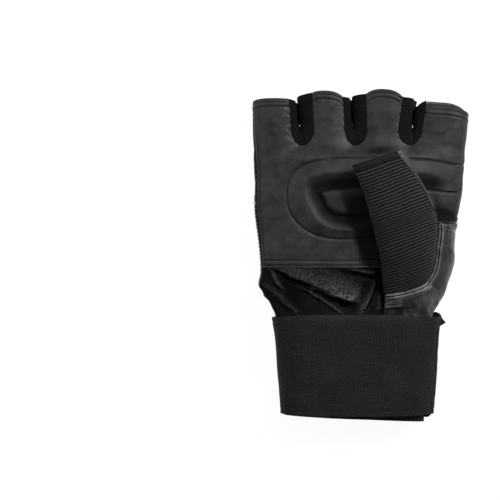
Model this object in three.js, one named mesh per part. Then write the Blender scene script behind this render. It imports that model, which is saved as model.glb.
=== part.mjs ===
import * as THREE from 'three'

// A right-hand weightlifting glove, lying on its back with the palm up and the thumb folded over
// the palm. Millimetres, +Z up. While it is modelled, y = 0 is the line where the hand meets the
// wrist wrap, the fingers point along +Y, the little finger is at -X and the thumb at +X.

// Driving dimensions
const HAND_WIDTH = 125
const PALM_LENGTH = 101.4
const FINGER_LENGTH = 33
const PALM_HEIGHT = 25
const FINGER_HEIGHT = 20
const THUMB_HEIGHT = 14
const WRAP_WIDTH = 60
const CUFF_LENGTH = 64
const CUFF_SLANT = 4
const TIP_LENGTH = 59
const TIP_WIDTH = 57
const PATCH_BORDER = 6
const PATCH_LENGTH = 49
const TAPE_BORDER = 11
const TAPE_LENGTH = 40

// Walls
const LEATHER = 1.6
const MESH_CLOTH = 1.3
const RIB_CLOTH = 1.9
const RIB_DEPTH = 0.6
const PAD_HEIGHT = 3
const CUFF_WALL = 1.4
const STRAP = 1.8
const TIP = 2
const PATCH = 1.4
const TAPE = 0.8
const WELT = 2.4
const GAP = 0.35

// What follows from them
const CROTCH = PALM_LENGTH
const STACK = PATCH + TIP + TAPE + STRAP + 4 * GAP
const STRAP_RISE = STRAP + TAPE + 2 * GAP
const THUMB_FLOOR = PALM_HEIGHT + PAD_HEIGHT + 2 * GAP

// Where the seams lie. Angles are degrees round a section from the thumb's side over the palm, the
// rest shares of PALM_LENGTH. ROUND_CROTCH: height of a crotch's round, share of FINGER_LENGTH.
const SEAM_ANGLE = 168
const WRAP_ROUND_ANGLE = -20
const SIDE_SEAM_ANGLE = -17
const PALM_HEM = 0.278
const THUMB_HOLE = 0.542
const KNUCKLE_SEAM_LEFT = 0.665
const KNUCKLE_SEAM_RIGHT = 0.865
const RIB_SEAM = 0.382
const TUCK = 4
const ROUND_CROTCH = 0.30

// Shapes of the sections. MIDDLE: height of the widest place, share of the section's. POWER: 2 is
// an ellipse, and more is squarer.
const HAND_MIDDLE = 0.44
const FINGER_MIDDLE = 0.46
const ARCH_POWER = 2.4
const THUMB_POWER = 2.3
const WRIST_BACK_POWER = 6
const HAND_BACK_POWER = 3.2
const FINGER_BACK_POWER = 3

// Sides of the hand and wrist. along: share of PALM_LENGTH. left, right: shares of HAND_WIDTH.
// top: share of PALM_HEIGHT.
const SIDES = [
  { along: -0.66, left: -0.372, right: 0.300, top: 1.02 },
  { along: -0.36, left: -0.386, right: 0.316, top: 1.05 },
  { along: -0.03, left: -0.414, right: 0.337, top: 1.04 },
  { along: 0.06, left: -0.444, right: 0.363, top: 1.02 },
  { along: 0.12, left: -0.476, right: 0.378, top: 1.01 },
  { along: 0.17, left: -0.497, right: 0.396, top: 1.00 },
  { along: 0.26, left: -0.486, right: 0.421, top: 1.00 },
  { along: 0.37, left: -0.491, right: 0.421, top: 1.00 },
  { along: 0.46, left: -0.499, right: 0.435, top: 1.00 },
  { along: 0.52, left: -0.506, right: 0.463, top: 1.00 },
  { along: 0.62, left: -0.515, right: 0.475, top: 1.00 },
  { along: 0.75, left: -0.513, right: 0.490, top: 0.99 },
  { along: 1.00, left: -0.521, right: 0.509, top: 0.93 },
  { along: 1.40, left: -0.526, right: 0.536, top: 0.80 }
]

// Open ends of the finger stalls, shares of FINGER_LENGTH, at the left, middle and right of each.
const FINGERS = [
  { frontLeft: 0.80, frontMid: 0.85, frontRight: 0.842, backLeft: 0.76, backMid: 0.82, backRight: 0.82 },
  { frontLeft: 0.955, frontMid: 0.985, frontRight: 0.882, backLeft: 0.93, backMid: 0.95, backRight: 0.86 },
  { frontLeft: 0.936, frontMid: 1.018, frontRight: 0.879, backLeft: 0.91, backMid: 0.98, backRight: 0.86 },
  { frontLeft: 0.727, frontMid: 0.652, frontRight: 0.50, backLeft: 0.83, backMid: 0.79, backRight: 0.60 }
]

// Sidewalls between the fingers. bottom, top: where the middle line starts and ends across the
// hand. left, right: how far each side opens. All are shares of HAND_WIDTH. notches: heights of the
// middle line's two ends, and web: height of its lowest place, shares of FINGER_LENGTH.
const GUSSETS = [
  { bottom: -0.290, top: -0.306, left: 0.0456, right: 0.0672, notches: [0.80, 0.905], web: 0.32 },
  { bottom: -0.034, top: -0.043, left: 0.0456, right: 0.0640, notches: [0.86, 0.91], web: 0.34 },
  { bottom: 0.237, top: 0.275, left: 0.0736, right: 0.0448, notches: [0.85, 0.72], web: 0.31 }
]

// Sections of the thumb, base to tip. leftX, rightX: shares of HAND_WIDTH. leftY, rightY: shares
// of PALM_LENGTH.
const THUMB = [
  { along: 0.00, leftX: 0.100, leftY: 0.130, rightX: 0.304, rightY: 0.196 },
  { along: 0.06, leftX: 0.094, leftY: 0.206, rightX: 0.336, rightY: 0.265 },
  { along: 0.15, leftX: 0.083, leftY: 0.305, rightX: 0.350, rightY: 0.393 },
  { along: 0.30, leftX: 0.061, leftY: 0.423, rightX: 0.357, rightY: 0.512 },
  { along: 0.50, leftX: 0.040, leftY: 0.537, rightX: 0.328, rightY: 0.645 },
  { along: 0.75, leftX: 0.002, leftY: 0.704, rightX: 0.256, rightY: 0.822 },
  { along: 1.00, leftX: -0.053, leftY: 0.872, rightX: 0.192, rightY: 0.968 }
]

// centre, tilt, crest: height of a section's middle, rise to the right and rise to the ridge, shares
// of THUMB_HEIGHT. bow: how far it bends towards the wrist, share of PALM_LENGTH.
const THUMB_RISE = [
  { along: 0.00, centre: 0.02, tilt: 0.04, crest: 0.30, bow: 0.022 },
  { along: 0.06, centre: 0.06, tilt: 0.08, crest: 0.55, bow: 0.012 },
  { along: 0.15, centre: 0.16, tilt: 0.12, crest: 0.74, bow: 0.004 },
  { along: 0.30, centre: 0.33, tilt: 0.08, crest: 0.64, bow: 0 },
  { along: 0.50, centre: 0.48, tilt: 0.00, crest: 0.52, bow: 0 },
  { along: 0.75, centre: 0.50, tilt: 0.00, crest: 0.50, bow: 0 },
  { along: 1.00, centre: 0.50, tilt: 0.00, crest: 0.46, bow: 0 }
]

// Middle line and half width of the padded C on the palm. x: share of HAND_WIDTH. y: share of
// PALM_LENGTH. half: share of PALM_LENGTH.
const PAD = [
  { x: 0.440, y: 0.830, half: 0.076 },
  { x: 0.300, y: 0.836, half: 0.084 },
  { x: 0.120, y: 0.837, half: 0.086 },
  { x: -0.060, y: 0.836, half: 0.086 },
  { x: -0.190, y: 0.822, half: 0.088 },
  { x: -0.268, y: 0.778, half: 0.092 },
  { x: -0.288, y: 0.700, half: 0.090 },
  { x: -0.270, y: 0.612, half: 0.086 },
  { x: -0.215, y: 0.545, half: 0.076 },
  { x: -0.130, y: 0.519, half: 0.070 },
  { x: -0.040, y: 0.517, half: 0.068 },
  { x: 0.030, y: 0.520, half: 0.066 }
]

// Folds of the heel leather. x0, y0 to x1, y1: ends of each ridge, shares of HAND_WIDTH and
// PALM_LENGTH. wide, high: half width and height, shares of PALM_HEIGHT.
const HEEL_FOLDS = [
  { x0: -0.232, y0: 0.206, x1: -0.056, y1: 0.088, wide: 0.16, high: 0.11 },
  { x0: -0.256, y0: 0.127, x1: -0.148, y1: 0.029, wide: 0.12, high: 0.07 },
  { x0: -0.432, y0: 0.240, x1: -0.390, y1: 0.174, wide: 0.12, high: 0.06 },
  { x0: -0.451, y0: 0.167, x1: -0.316, y1: 0.019, wide: 0.14, high: 0.06 },
  { x0: -0.020, y0: 0.170, x1: 0.060, y1: 0.060, wide: 0.12, high: 0.06 }
]

const radians = degrees => degrees * Math.PI / 180
const inDegrees = angle => angle * 180 / Math.PI
const lerp = (a, b, t) => a + (b - a) * t
const clamp = (value, low, high) => Math.min(high, Math.max(low, value))

function smoothstep (low, high, value) {
  const t = clamp((value - low) / (high - low), 0, 1)
  return t * t * (3 - 2 * t)
}

function range (count, from = 0, to = 1) {
  return Array.from({ length: count }, (_, i) => lerp(from, to, i / (count - 1)))
}

// Smooth curve through one column of a table that is sorted by along.
function follow (table, column, along) {
  const last = table.length - 1
  let i = 0
  while (i < last - 1 && along > table[i + 1].along) i++
  const t = clamp((along - table[i].along) / (table[i + 1].along - table[i].along), 0, 1)
  const before = table[Math.max(i - 1, 0)]
  const start = table[i]
  const end = table[i + 1]
  const after = table[Math.min(i + 2, last)]
  const step = end.along - start.along
  const slopeIn = (end[column] - before[column]) / (end.along - before.along) * step
  const slopeOut = (after[column] - start[column]) / (after.along - start.along) * step
  const t2 = t * t
  const t3 = t2 * t
  return (2 * t3 - 3 * t2 + 1) * start[column] + (t3 - 2 * t2 + t) * slopeIn +
    (3 * t2 - 2 * t3) * end[column] + (t3 - t2) * slopeOut
}

// A section is an oval of two halves. power: how square each half is.
const signedPower = (value, power) => Math.sign(value) * Math.abs(value) ** power

function ovalPoint (oval, degrees) {
  const cosine = Math.cos(radians(degrees))
  const sine = Math.sin(radians(degrees))
  const power = sine >= 0 ? oval.topPower : oval.bottomPower
  const rise = sine >= 0 ? oval.top - oval.middle : oval.middle - oval.bottom
  const across = signedPower(cosine, 2 / power)
  const up = signedPower(sine, 2 / power)
  const normal = new THREE.Vector3(
    signedPower(across, power - 1) / oval.half, 0, signedPower(up, power - 1) / rise
  )
  return {
    point: new THREE.Vector3(oval.centre + oval.half * across, 0, oval.middle + rise * up),
    normal: normal.normalize()
  }
}

function angleAt (oval, x) {
  const across = clamp((x - oval.centre) / oval.half, -1, 1)
  return inDegrees(Math.acos(signedPower(across, oval.topPower / 2)))
}

// The hand and the wrist as one oval at each y.
function handOval (y) {
  const along = y / PALM_LENGTH
  const left = follow(SIDES, 'left', along) * HAND_WIDTH
  const right = follow(SIDES, 'right', along) * HAND_WIDTH
  const lift = STACK * (1 - smoothstep(0, 0.34, along))
  const liftOfPalm = STACK / 2 * (1 - smoothstep(-0.05, 0.16, along))
  const top = follow(SIDES, 'top', along) * PALM_HEIGHT + liftOfPalm
  return {
    centre: (left + right) / 2,
    half: (right - left) / 2,
    bottom: lift,
    middle: lerp(lift, top, HAND_MIDDLE),
    top,
    topPower: ARCH_POWER,
    bottomPower: lerp(WRIST_BACK_POWER, HAND_BACK_POWER, smoothstep(0, 0.3, along))
  }
}

const handPoint = (degrees, y) => {
  const { point, normal } = ovalPoint(handOval(y), degrees)
  return { point: point.setY(y), normal }
}

// The fingers. reach: how far along a finger, share of FINGER_LENGTH.
const reachAt = y => (y - CROTCH) / FINGER_LENGTH
const gussetMiddle = (index, y) => {
  const { bottom, top } = GUSSETS[index]
  return HAND_WIDTH * lerp(bottom, top, clamp(reachAt(y), 0, 1))
}
const gussetOpening = y => {
  const rise = clamp(reachAt(y) / ROUND_CROTCH, 0, 1)
  return Math.max(0.2, Math.sqrt(1 - (1 - rise) ** 2))
}
const leftEdge = (finger, y) => {
  const opening = GUSSETS[finger - 1].right * HAND_WIDTH * gussetOpening(y)
  return gussetMiddle(finger - 1, y) + opening
}
const rightEdge = (finger, y) => {
  const opening = GUSSETS[finger].left * HAND_WIDTH * gussetOpening(y)
  return gussetMiddle(finger, y) - opening
}

function fingerOval (finger, y) {
  const hand = handOval(y)
  const left = finger === 0 ? hand.centre - hand.half : gussetMiddle(finger - 1, y)
  const right = finger === FINGERS.length - 1 ? hand.centre + hand.half : gussetMiddle(finger, y)
  return {
    centre: (left + right) / 2,
    half: (right - left) / 2,
    bottom: 0,
    middle: FINGER_HEIGHT * FINGER_MIDDLE,
    top: FINGER_HEIGHT,
    topPower: ARCH_POWER,
    bottomPower: FINGER_BACK_POWER
  }
}

const fingerShare = y => smoothstep(CROTCH - 9, CROTCH + 7, y)

// The point of the glove's skin at share t across one finger's front or back, at any y.
function skinPoint (finger, t, y, front) {
  const hand = handOval(y)
  const oval = fingerOval(finger, y)
  const mirror = angle => front ? angle : 360 - angle
  const first = finger === 0
  const last = finger === FINGERS.length - 1
  const gapAngle = front ? 0 : inDegrees(GAP / (PALM_HEIGHT / 2))
  const seam = SEAM_ANGLE + gapAngle
  const round = front ? WRAP_ROUND_ANGLE : 360 + WRAP_ROUND_ANGLE - gapAngle
  const fingerFrom = first ? seam : mirror(angleAt(oval, leftEdge(finger, y)))
  const fingerTo = last ? round : mirror(angleAt(oval, rightEdge(finger, y)))
  const handFrom = first ? seam : mirror(angleAt(hand, leftEdge(finger, y)))
  const handTo = last ? round : mirror(angleAt(hand, rightEdge(finger, y)))
  const onHand = ovalPoint(hand, lerp(handFrom, handTo, t))
  const onFinger = ovalPoint(oval, lerp(fingerFrom, fingerTo, t))
  const share = fingerShare(y)
  return {
    point: onHand.point.lerp(onFinger.point, share).setY(y),
    normal: onHand.normal.lerp(onFinger.normal, share).normalize()
  }
}

// A wall between two grids of points. isThere(row, column) leaves cells out.
function wall (outer, inner, { closed = false, isThere = () => true } = {}) {
  const rows = outer.length
  const columns = outer[0].length
  const cells = closed ? columns : columns - 1
  const grids = [outer, inner]
  const numbers = new Map()
  const positions = []
  const faces = []
  const vertex = (layer, row, column) => {
    const key = (layer * rows + row) * columns + column % columns
    if (!numbers.has(key)) {
      numbers.set(key, numbers.size)
      positions.push(...grids[layer][row][column % columns].toArray())
    }
    return numbers.get(key)
  }
  const quad = (a, b, c, d) => faces.push(a, b, c, a, c, d)
  const cell = (row, column) => {
    const inside = row >= 0 && row < rows - 1 && (closed || (column >= 0 && column < cells))
    return inside && isThere(row, (column + cells) % cells)
  }
  for (let row = 0; row < rows - 1; row++) {
    for (let column = 0; column < cells; column++) {
      if (!cell(row, column)) continue
      const corner = (layer, down, across) => vertex(layer, row + down, column + across)
      quad(corner(0, 0, 0), corner(0, 0, 1), corner(0, 1, 1), corner(0, 1, 0))
      quad(corner(1, 0, 0), corner(1, 1, 0), corner(1, 1, 1), corner(1, 0, 1))
      if (!cell(row - 1, column)) quad(corner(0, 0, 0), corner(1, 0, 0), corner(1, 0, 1), corner(0, 0, 1))
      if (!cell(row + 1, column)) quad(corner(0, 1, 0), corner(0, 1, 1), corner(1, 1, 1), corner(1, 1, 0))
      if (!cell(row, column - 1)) quad(corner(0, 0, 0), corner(0, 1, 0), corner(1, 1, 0), corner(1, 0, 0))
      if (!cell(row, column + 1)) quad(corner(0, 0, 1), corner(1, 0, 1), corner(1, 1, 1), corner(0, 1, 1))
    }
  }
  return facingOut(positions, faces)
}

function facingOut (positions, faces) {
  const [a, b, c] = [new THREE.Vector3(), new THREE.Vector3(), new THREE.Vector3()]
  let volume = 0
  for (let i = 0; i < faces.length; i += 3) {
    a.fromArray(positions, faces[i] * 3)
    b.fromArray(positions, faces[i + 1] * 3)
    c.fromArray(positions, faces[i + 2] * 3)
    volume += a.dot(b.cross(c))
  }
  if (volume < 0) faces.reverse()
  const geometry = new THREE.BufferGeometry()
  geometry.setAttribute('position', new THREE.Float32BufferAttribute(positions, 3))
  geometry.setIndex(faces)
  geometry.computeVertexNormals()
  return geometry
}

// A wall from skin points: out is how far its outer face stands off the skin.
function skinWall (skins, thickness, { out = () => 0, depth = () => 0, ...options } = {}) {
  const shift = (skin, far) => skin.point.clone().addScaledVector(skin.normal, far)
  const layer = under => skins.map((row, i) => row.map((skin, j) => {
    return shift(skin, out(skin.point, i, j) - under(i, j))
  }))
  return wall(layer(depth), layer(() => thickness), options)
}

// Normals of a free grid of points, as row direction cross column direction.
function gridNormals (points) {
  const rows = points.length
  const columns = points[0].length
  return points.map((row, i) => row.map((_, j) => {
    const along = points[Math.min(i + 1, rows - 1)][j].clone().sub(points[Math.max(i - 1, 0)][j])
    const across = row[Math.min(j + 1, columns - 1)].clone().sub(row[Math.max(j - 1, 0)])
    return along.cross(across).normalize()
  }))
}

// Columns that every panel across the hand shares
const PER_FINGER = 6
const COLUMNS = FINGERS.flatMap((_, finger) => range(PER_FINGER).map(t => ({ finger, t })))
const betweenFingers = column => column % PER_FINGER === PER_FINGER - 1 && column < COLUMNS.length - 1
const STALL_ROWS = [0, 0.035, 0.12, 0.3, 0.5, 0.75, 1]

const through = (left, middle, right, t) => {
  const bend = 2 * (middle - (left + right) / 2)
  return lerp(left, right, t) + bend * 2 * t * (1 - t)
}
const stallEnd = (column, side) => {
  const row = FINGERS[column.finger]
  const share = through(row[side + 'Left'], row[side + 'Mid'], row[side + 'Right'], column.t)
  return CROTCH + FINGER_LENGTH * share
}

function columnX (column) {
  return skinPoint(column.finger, column.t, PALM_LENGTH * 0.3, true).point.x / HAND_WIDTH
}

// The lower hem of the palm leather, which rises round the thumb's hole.
const palmHem = column => PALM_LENGTH * lerp(PALM_HEM, THUMB_HOLE, smoothstep(0.10, 0.30, columnX(column)))

// Seams across the back of the hand
const knuckleSeam = column => {
  const share = smoothstep(-0.42, 0.42, columnX(column))
  return PALM_LENGTH * lerp(KNUCKLE_SEAM_LEFT, KNUCKLE_SEAM_RIGHT, share)
}
const ribSeam = column => {
  const x = columnX(column)
  return PALM_LENGTH * (RIB_SEAM - 0.30 * (x + 0.02) ** 2 - 0.03 * smoothstep(0, -0.5, x))
}

function stalls (lowEdge, side) {
  const front = side === 'front'
  const lowRows = range(front ? 8 : 5).slice(0, -1)
  const skins = lowRows.map(share => COLUMNS.map(column => {
    return skinPoint(column.finger, column.t, lerp(lowEdge(column), CROTCH, share), front)
  }))
  for (const share of STALL_ROWS) {
    skins.push(COLUMNS.map(column => {
      return skinPoint(column.finger, column.t, lerp(CROTCH, stallEnd(column, side), share), front)
    }))
  }
  const isThere = (row, column) => row < lowRows.length || !betweenFingers(column)
  return skinWall(skins, LEATHER, { isThere })
}

// Rows of skin points between two seams, at shares of the way from one to the other
function band (lowEdge, highEdge, shares, front, columns = COLUMNS) {
  return shares.map(share => columns.map(column => {
    return skinPoint(column.finger, column.t, lerp(lowEdge(column), highEdge(column), share), front)
  }))
}

function gusset (index) {
  const { notches, web } = GUSSETS[index]
  const phases = [0, 30, 60, 90, 120, 150, 180]
  const down = [...STALL_ROWS].reverse().map(share => [-1, share])
  const path = [...down, ...STALL_ROWS.map(share => [1, share])]
  const points = []
  const edges = []
  for (const [side, share] of path) {
    const column = side < 0 ? { finger: index, t: 1 } : { finger: index + 1, t: 0 }
    const edge = face => {
      const y = lerp(CROTCH, stallEnd(column, face), share)
      return skinPoint(column.finger, column.t, y, face === 'front')
    }
    const [front, back] = [edge('front'), edge('back')]
    const y = CROTCH + FINGER_LENGTH * lerp(web, notches[side < 0 ? 0 : 1], share)
    const middle = new THREE.Vector3(gussetMiddle(index, y) + side * GAP, y, FINGER_HEIGHT * FINGER_MIDDLE)
    points.push(phases.map(phase => {
      const from = phase <= 90 ? front.point : back.point
      const start = GAP * 1.3 / middle.distanceTo(from)
      const turn = lerp(start, Math.PI / 2, (90 - Math.abs(90 - phase)) / 90)
      const near = Math.sin(turn)
      return new THREE.Vector3(
        lerp(from.x, middle.x, near), lerp(from.y, middle.y, near), lerp(middle.z, from.z, Math.cos(turn))
      )
    }))
    edges.push([front.normal, back.normal])
  }
  const normals = gridNormals(points)
  const inner = points.map((row, i) => row.map((point, j) => {
    const nearFront = smoothstep(50, 0, phases[j])
    const nearBack = smoothstep(130, 180, phases[j])
    const normal = normals[i][j].clone().lerp(edges[i][0], nearFront).lerp(edges[i][1], nearBack)
    return point.clone().addScaledVector(normal.normalize(), -MESH_CLOTH)
  }))
  return wall(points, inner)
}

function heelRelief (point) {
  let rise = 0
  for (const fold of HEEL_FOLDS) {
    const start = new THREE.Vector2(fold.x0 * HAND_WIDTH, fold.y0 * PALM_LENGTH)
    const line = new THREE.Vector2(fold.x1 * HAND_WIDTH, fold.y1 * PALM_LENGTH).sub(start)
    const to = new THREE.Vector2(point.x, point.y).sub(start)
    const share = clamp(to.dot(line) / line.lengthSq(), 0, 1)
    const away = to.addScaledVector(line, -share).length() / (fold.wide * PALM_HEIGHT)
    rise += fold.high * PALM_HEIGHT * Math.exp(-away * away)
  }
  return rise * smoothstep(0, 0.04, point.y / PALM_LENGTH) * smoothstep(0.27, 0.22, point.y / PALM_LENGTH)
}

const HEEL_COLUMNS = [
  ...range(11).map(t => ({ finger: 0, t })),
  ...range(11).map(t => ({ finger: 1, t })),
  ...range(5, 0, 0.4).map(t => ({ finger: 2, t }))
]
const HEEL_END = HEEL_COLUMNS[HEEL_COLUMNS.length - 1]

function heelPanel () {
  const top = () => palmHem(HEEL_COLUMNS[0]) - GAP
  const skins = band(() => -TUCK, top, range(10), true, HEEL_COLUMNS)
  return skinWall(skins, LEATHER, { out: heelRelief })
}

function ribPanel () {
  const ribs = 6
  const skins = band(ribSeam, column => knuckleSeam(column) - GAP, range(2 * ribs + 1), false)
  return skinWall(skins, RIB_CLOTH, { depth: row => row % 2 ? 0 : RIB_DEPTH })
}

function backPanel () {
  const skins = band(() => -TUCK, column => ribSeam(column) - GAP, range(9), false)
  const gathers = (row, column) => {
    const loose = Math.sin(Math.PI * clamp(row / 8, 0, 1))
    return 0.5 * loose * (1 + Math.cos(column * Math.PI * 0.5))
  }
  return skinWall(skins, LEATHER, { depth: gathers })
}

// The thumb as an oval tube across its own axis
function thumbPoint (degrees, along) {
  const at = column => follow(column in THUMB[0] ? THUMB : THUMB_RISE, column, along)
  const left = new THREE.Vector3(at('leftX') * HAND_WIDTH, at('leftY') * PALM_LENGTH, 0)
  const right = new THREE.Vector3(at('rightX') * HAND_WIDTH, at('rightY') * PALM_LENGTH, 0)
  const half = right.clone().sub(left).multiplyScalar(0.5)
  const middle = THUMB_HEIGHT * at('centre')
  const { point, normal } = ovalPoint({
    centre: 0,
    half: half.length(),
    bottom: 0,
    middle,
    top: middle + THUMB_HEIGHT * at('crest'),
    topPower: THUMB_POWER,
    bottomPower: THUMB_POWER
  }, degrees)
  const axis = half.clone().normalize()
  const place = left.add(half).addScaledVector(axis, point.x)
  place.y -= at('bow') * PALM_LENGTH * Math.sin(radians(degrees))
  const floor = THUMB_FLOOR - PAD_HEIGHT * (1 - smoothstep(0.3, 0.55, along))
  place.z = floor + point.z + THUMB_HEIGHT * at('tilt') * point.x / half.length()
  return {
    point: place,
    normal: axis.multiplyScalar(normal.x).add(new THREE.Vector3(0, 0, normal.z))
  }
}

const THUMB_CROTCH = 0.36
const THUMB_ANGLES = range(9, 180, 0)

function thumbRib () {
  const ribs = 16
  const skins = range(2 * ribs + 1).map(along => THUMB_ANGLES.map(angle => thumbPoint(angle, along)))
  return skinWall(skins, RIB_CLOTH, { depth: row => row % 2 ? 0 : RIB_DEPTH })
}

function thumbLeather () {
  const rows = [0.15, 0.22, 0.29, ...range(6, THUMB_CROTCH, 1.02)]
  const skins = rows.map(along => {
    const rise = follow(THUMB_RISE, 'centre', along) * THUMB_HEIGHT
    const drop = GAP * (along < THUMB_CROTCH ? 4.6 : 1.4)
    const inset = inDegrees(Math.asin((drop / rise) ** (THUMB_POWER / 2)))
    const end = lerp(215, 360 - inset, smoothstep(0.12, THUMB_CROTCH, along))
    return range(9, 180 + inset, end).map(angle => thumbPoint(angle, along))
  })
  return skinWall(skins, LEATHER)
}

// The lower edge of the thumb's ribs, from the thumb's hole down the side and across
function thumbEdge () {
  const down = range(7, THUMB_CROTCH - 0.02, 0).slice(0, -1).map(along => thumbPoint(0, along).point)
  const across = range(7, 0, 158).map(angle => thumbPoint(angle, 0).point)
  return [...down, ...across]
}

function outwards (points) {
  return points.map((_, i) => {
    const along = points[Math.min(i + 1, points.length - 1)].clone().sub(points[Math.max(i - 1, 0)])
    return new THREE.Vector3(-along.y, along.x, 0).multiplyScalar(-1).normalize()
  })
}

function thumbWelt () {
  const edge = thumbEdge()
  const away = outwards(edge).map(direction => direction.negate())
  const round = range(7).slice(0, -1)
  const skins = edge.map((point, i) => round.map(turn => {
    const angle = 2 * Math.PI * turn
    const side = GAP + WELT / 2 * (1 + Math.cos(angle))
    const up = new THREE.Vector3(0, 0, WELT * 0.4 * Math.sin(angle))
    return point.clone().addScaledVector(away[i], side).add(up)
  }))
  return tube(skins)
}

// A closed tube through rings of points
function tube (rings) {
  const sides = rings[0].length
  const positions = rings.flatMap(ring => ring.flatMap(point => point.toArray()))
  const faces = []
  for (let i = 0; i < rings.length - 1; i++) {
    for (let j = 0; j < sides; j++) {
      const [a, b] = [i * sides + j, i * sides + (j + 1) % sides]
      faces.push(a, b, b + sides, a, b + sides, a + sides)
    }
  }
  const last = (rings.length - 1) * sides
  for (let j = 1; j < sides - 1; j++) {
    faces.push(0, j + 1, j)
    faces.push(last, last + j, last + j + 1)
  }
  return facingOut(positions, faces)
}

// Moves a point that lies inside the hand's oval out to it.
function outsideHand (point) {
  const oval = handOval(point.y)
  const upper = point.z >= oval.middle
  const power = upper ? oval.topPower : oval.bottomPower
  const across = (point.x - oval.centre) / oval.half
  const up = (point.z - oval.middle) / (upper ? oval.top - oval.middle : oval.middle - oval.bottom)
  const size = (Math.abs(across) ** power + Math.abs(up) ** power) ** (1 / power)
  if (size >= 1) return point
  return new THREE.Vector3(
    oval.centre + (point.x - oval.centre) / size, point.y, oval.middle + (point.z - oval.middle) / size
  )
}

function handNormal (point) {
  const oval = handOval(point.y)
  const upper = point.z >= oval.middle
  const power = upper ? oval.topPower : oval.bottomPower
  const rise = upper ? oval.top - oval.middle : oval.middle - oval.bottom
  const across = (point.x - oval.centre) / oval.half
  const up = (point.z - oval.middle) / rise
  return new THREE.Vector3(
    signedPower(across, power - 1) / oval.half, 0, signedPower(up, power - 1) / rise
  ).normalize()
}

function thumbBase () {
  const edge = thumbEdge()
  const away = outwards(edge).map(direction => direction.negate())
  const corner = 6
  const top = palmHem(COLUMNS[COLUMNS.length - 1]) - 2 * GAP
  const heelX = skinPoint(HEEL_END.finger, HEEL_END.t, 0, true).point.x
  const heelAngle = angleAt(handOval(-TUCK), heelX + 2 * GAP)
  const points = edge.map((point, i) => {
    const start = point.clone().addScaledVector(away[i], WELT + 2 * GAP)
    start.z -= WELT * 0.3
    const onSide = i <= corner
    const y = onSide ? lerp(top, -TUCK, i / corner) : -TUCK
    const turn = Math.max(0, i - corner) / (edge.length - 1 - corner)
    const end = handPoint(lerp(SIDE_SEAM_ANGLE, heelAngle, turn), y)
    const sideways = new THREE.Vector3(end.normal.z, 0, -end.normal.x)
    const down = smoothstep(corner - 2, corner + 2, i)
    const arrive = sideways.lerp(new THREE.Vector3(0, -1, 0), down).normalize()
    if (i === 0) {
      const oval = handOval(y)
      const from = angleAt(oval, start.x)
      return range(8).map(share => handPoint(lerp(from, SIDE_SEAM_ANGLE, share), y).point)
    }
    const reach = start.distanceTo(end.point) * 0.36
    const curve = new THREE.CubicBezierCurve3(
      start,
      start.clone().addScaledVector(away[i], reach),
      end.point.clone().addScaledVector(arrive, -reach),
      end.point
    )
    return range(8).map(share => outsideHand(curve.getPoint(share)))
  })
  const normals = gridNormals(points)
  const inner = points.map((row, i) => row.map((point, j) => {
    const onHand = smoothstep(1, 5, j)
    const normal = normals[i][j].lerp(handNormal(point), onHand).normalize()
    return point.clone().addScaledVector(normal, -LEATHER)
  }))
  return wall(points, inner)
}

// Height of the palm leather at a place on it
function palmTop (x, y) {
  const oval = handOval(y)
  const across = clamp(Math.abs(x - oval.centre) / oval.half, 0, 1)
  return oval.middle + (oval.top - oval.middle) * (1 - across ** oval.topPower) ** (1 / oval.topPower)
}

function palmPad () {
  const table = PAD.map((row, i) => ({ ...row, along: i / (PAD.length - 1) }))
  const centre = along => new THREE.Vector3(
    follow(table, 'x', along) * HAND_WIDTH, follow(table, 'y', along) * PALM_LENGTH, 0
  )
  const across = range(7, -1, 1)
  const outer = []
  const inner = []
  for (const along of range(27)) {
    const direction = centre(along + 0.01).sub(centre(along - 0.01)).normalize()
    const side = new THREE.Vector3(-direction.y, direction.x, 0)
    const half = follow(table, 'half', along) * PALM_LENGTH
    const ends = smoothstep(-0.01, 0.04, along) * smoothstep(1.01, 0.97, along)
    const row = across.map(share => centre(along).addScaledVector(side, share * half))
    const rise = share => PAD_HEIGHT * lerp(0.35, 1, Math.sqrt(1 - share ** 4) * ends)
    inner.push(row.map(point => point.clone().setZ(palmTop(point.x, point.y) + GAP * 1.5)))
    outer.push(row.map((point, j) => point.clone().setZ(palmTop(point.x, point.y) + GAP + rise(across[j]))))
  }
  return wall(outer, inner)
}

// Angles that every layer round the wrist shares
const WRIST_ANGLES = range(35, 0, 360).slice(0, -1)

function cuff () {
  const bottom = angle => -CUFF_LENGTH + CUFF_SLANT * (1 - Math.cos(radians(angle))) / 2
  const tucked = [TUCK * 0.5, -TUCK - GAP, -TUCK * 2.2]
  const skins = [
    ...tucked.map(y => WRIST_ANGLES.map(angle => handPoint(angle, y))),
    ...[0.35, 0.6, 0.8, 1].map(share => WRIST_ANGLES.map(angle => handPoint(angle, share * bottom(angle))))
  ]
  const out = point => -GAP - (LEATHER + 2 * GAP) * smoothstep(-2 * TUCK, -TUCK * 1.2, point.y)
  return skinWall(skins, CUFF_WALL, { out, closed: true })
}

const STRAP_START = 333
const strapRise = angle => STRAP_RISE * smoothstep(176, 0, angle)
const STRAP_END_X = HAND_WIDTH * 0.125

function strapSkin (angle, y, out) {
  const { point, normal } = handPoint(angle, y)
  return point.addScaledVector(normal, out)
}

function wristStrap () {
  const underside = { ...handOval(-WRAP_WIDTH / 2), topPower: WRIST_BACK_POWER }
  const endAngle = -angleAt(underside, STRAP_END_X + GAP)
  const angles = range(54, STRAP_START, endAngle)
  const rows = range(4)
  const grid = far => rows.map(share => angles.map(angle => {
    const side = Math.abs(Math.cos(radians(angle))) ** 4
    const y = lerp(-2 * side, -WRAP_WIDTH + 0.8 * side, share)
    return strapSkin((angle + 360) % 360, y, GAP + strapRise(angle) + far)
  }))
  return wall(grid(STRAP), grid(0))
}

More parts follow.
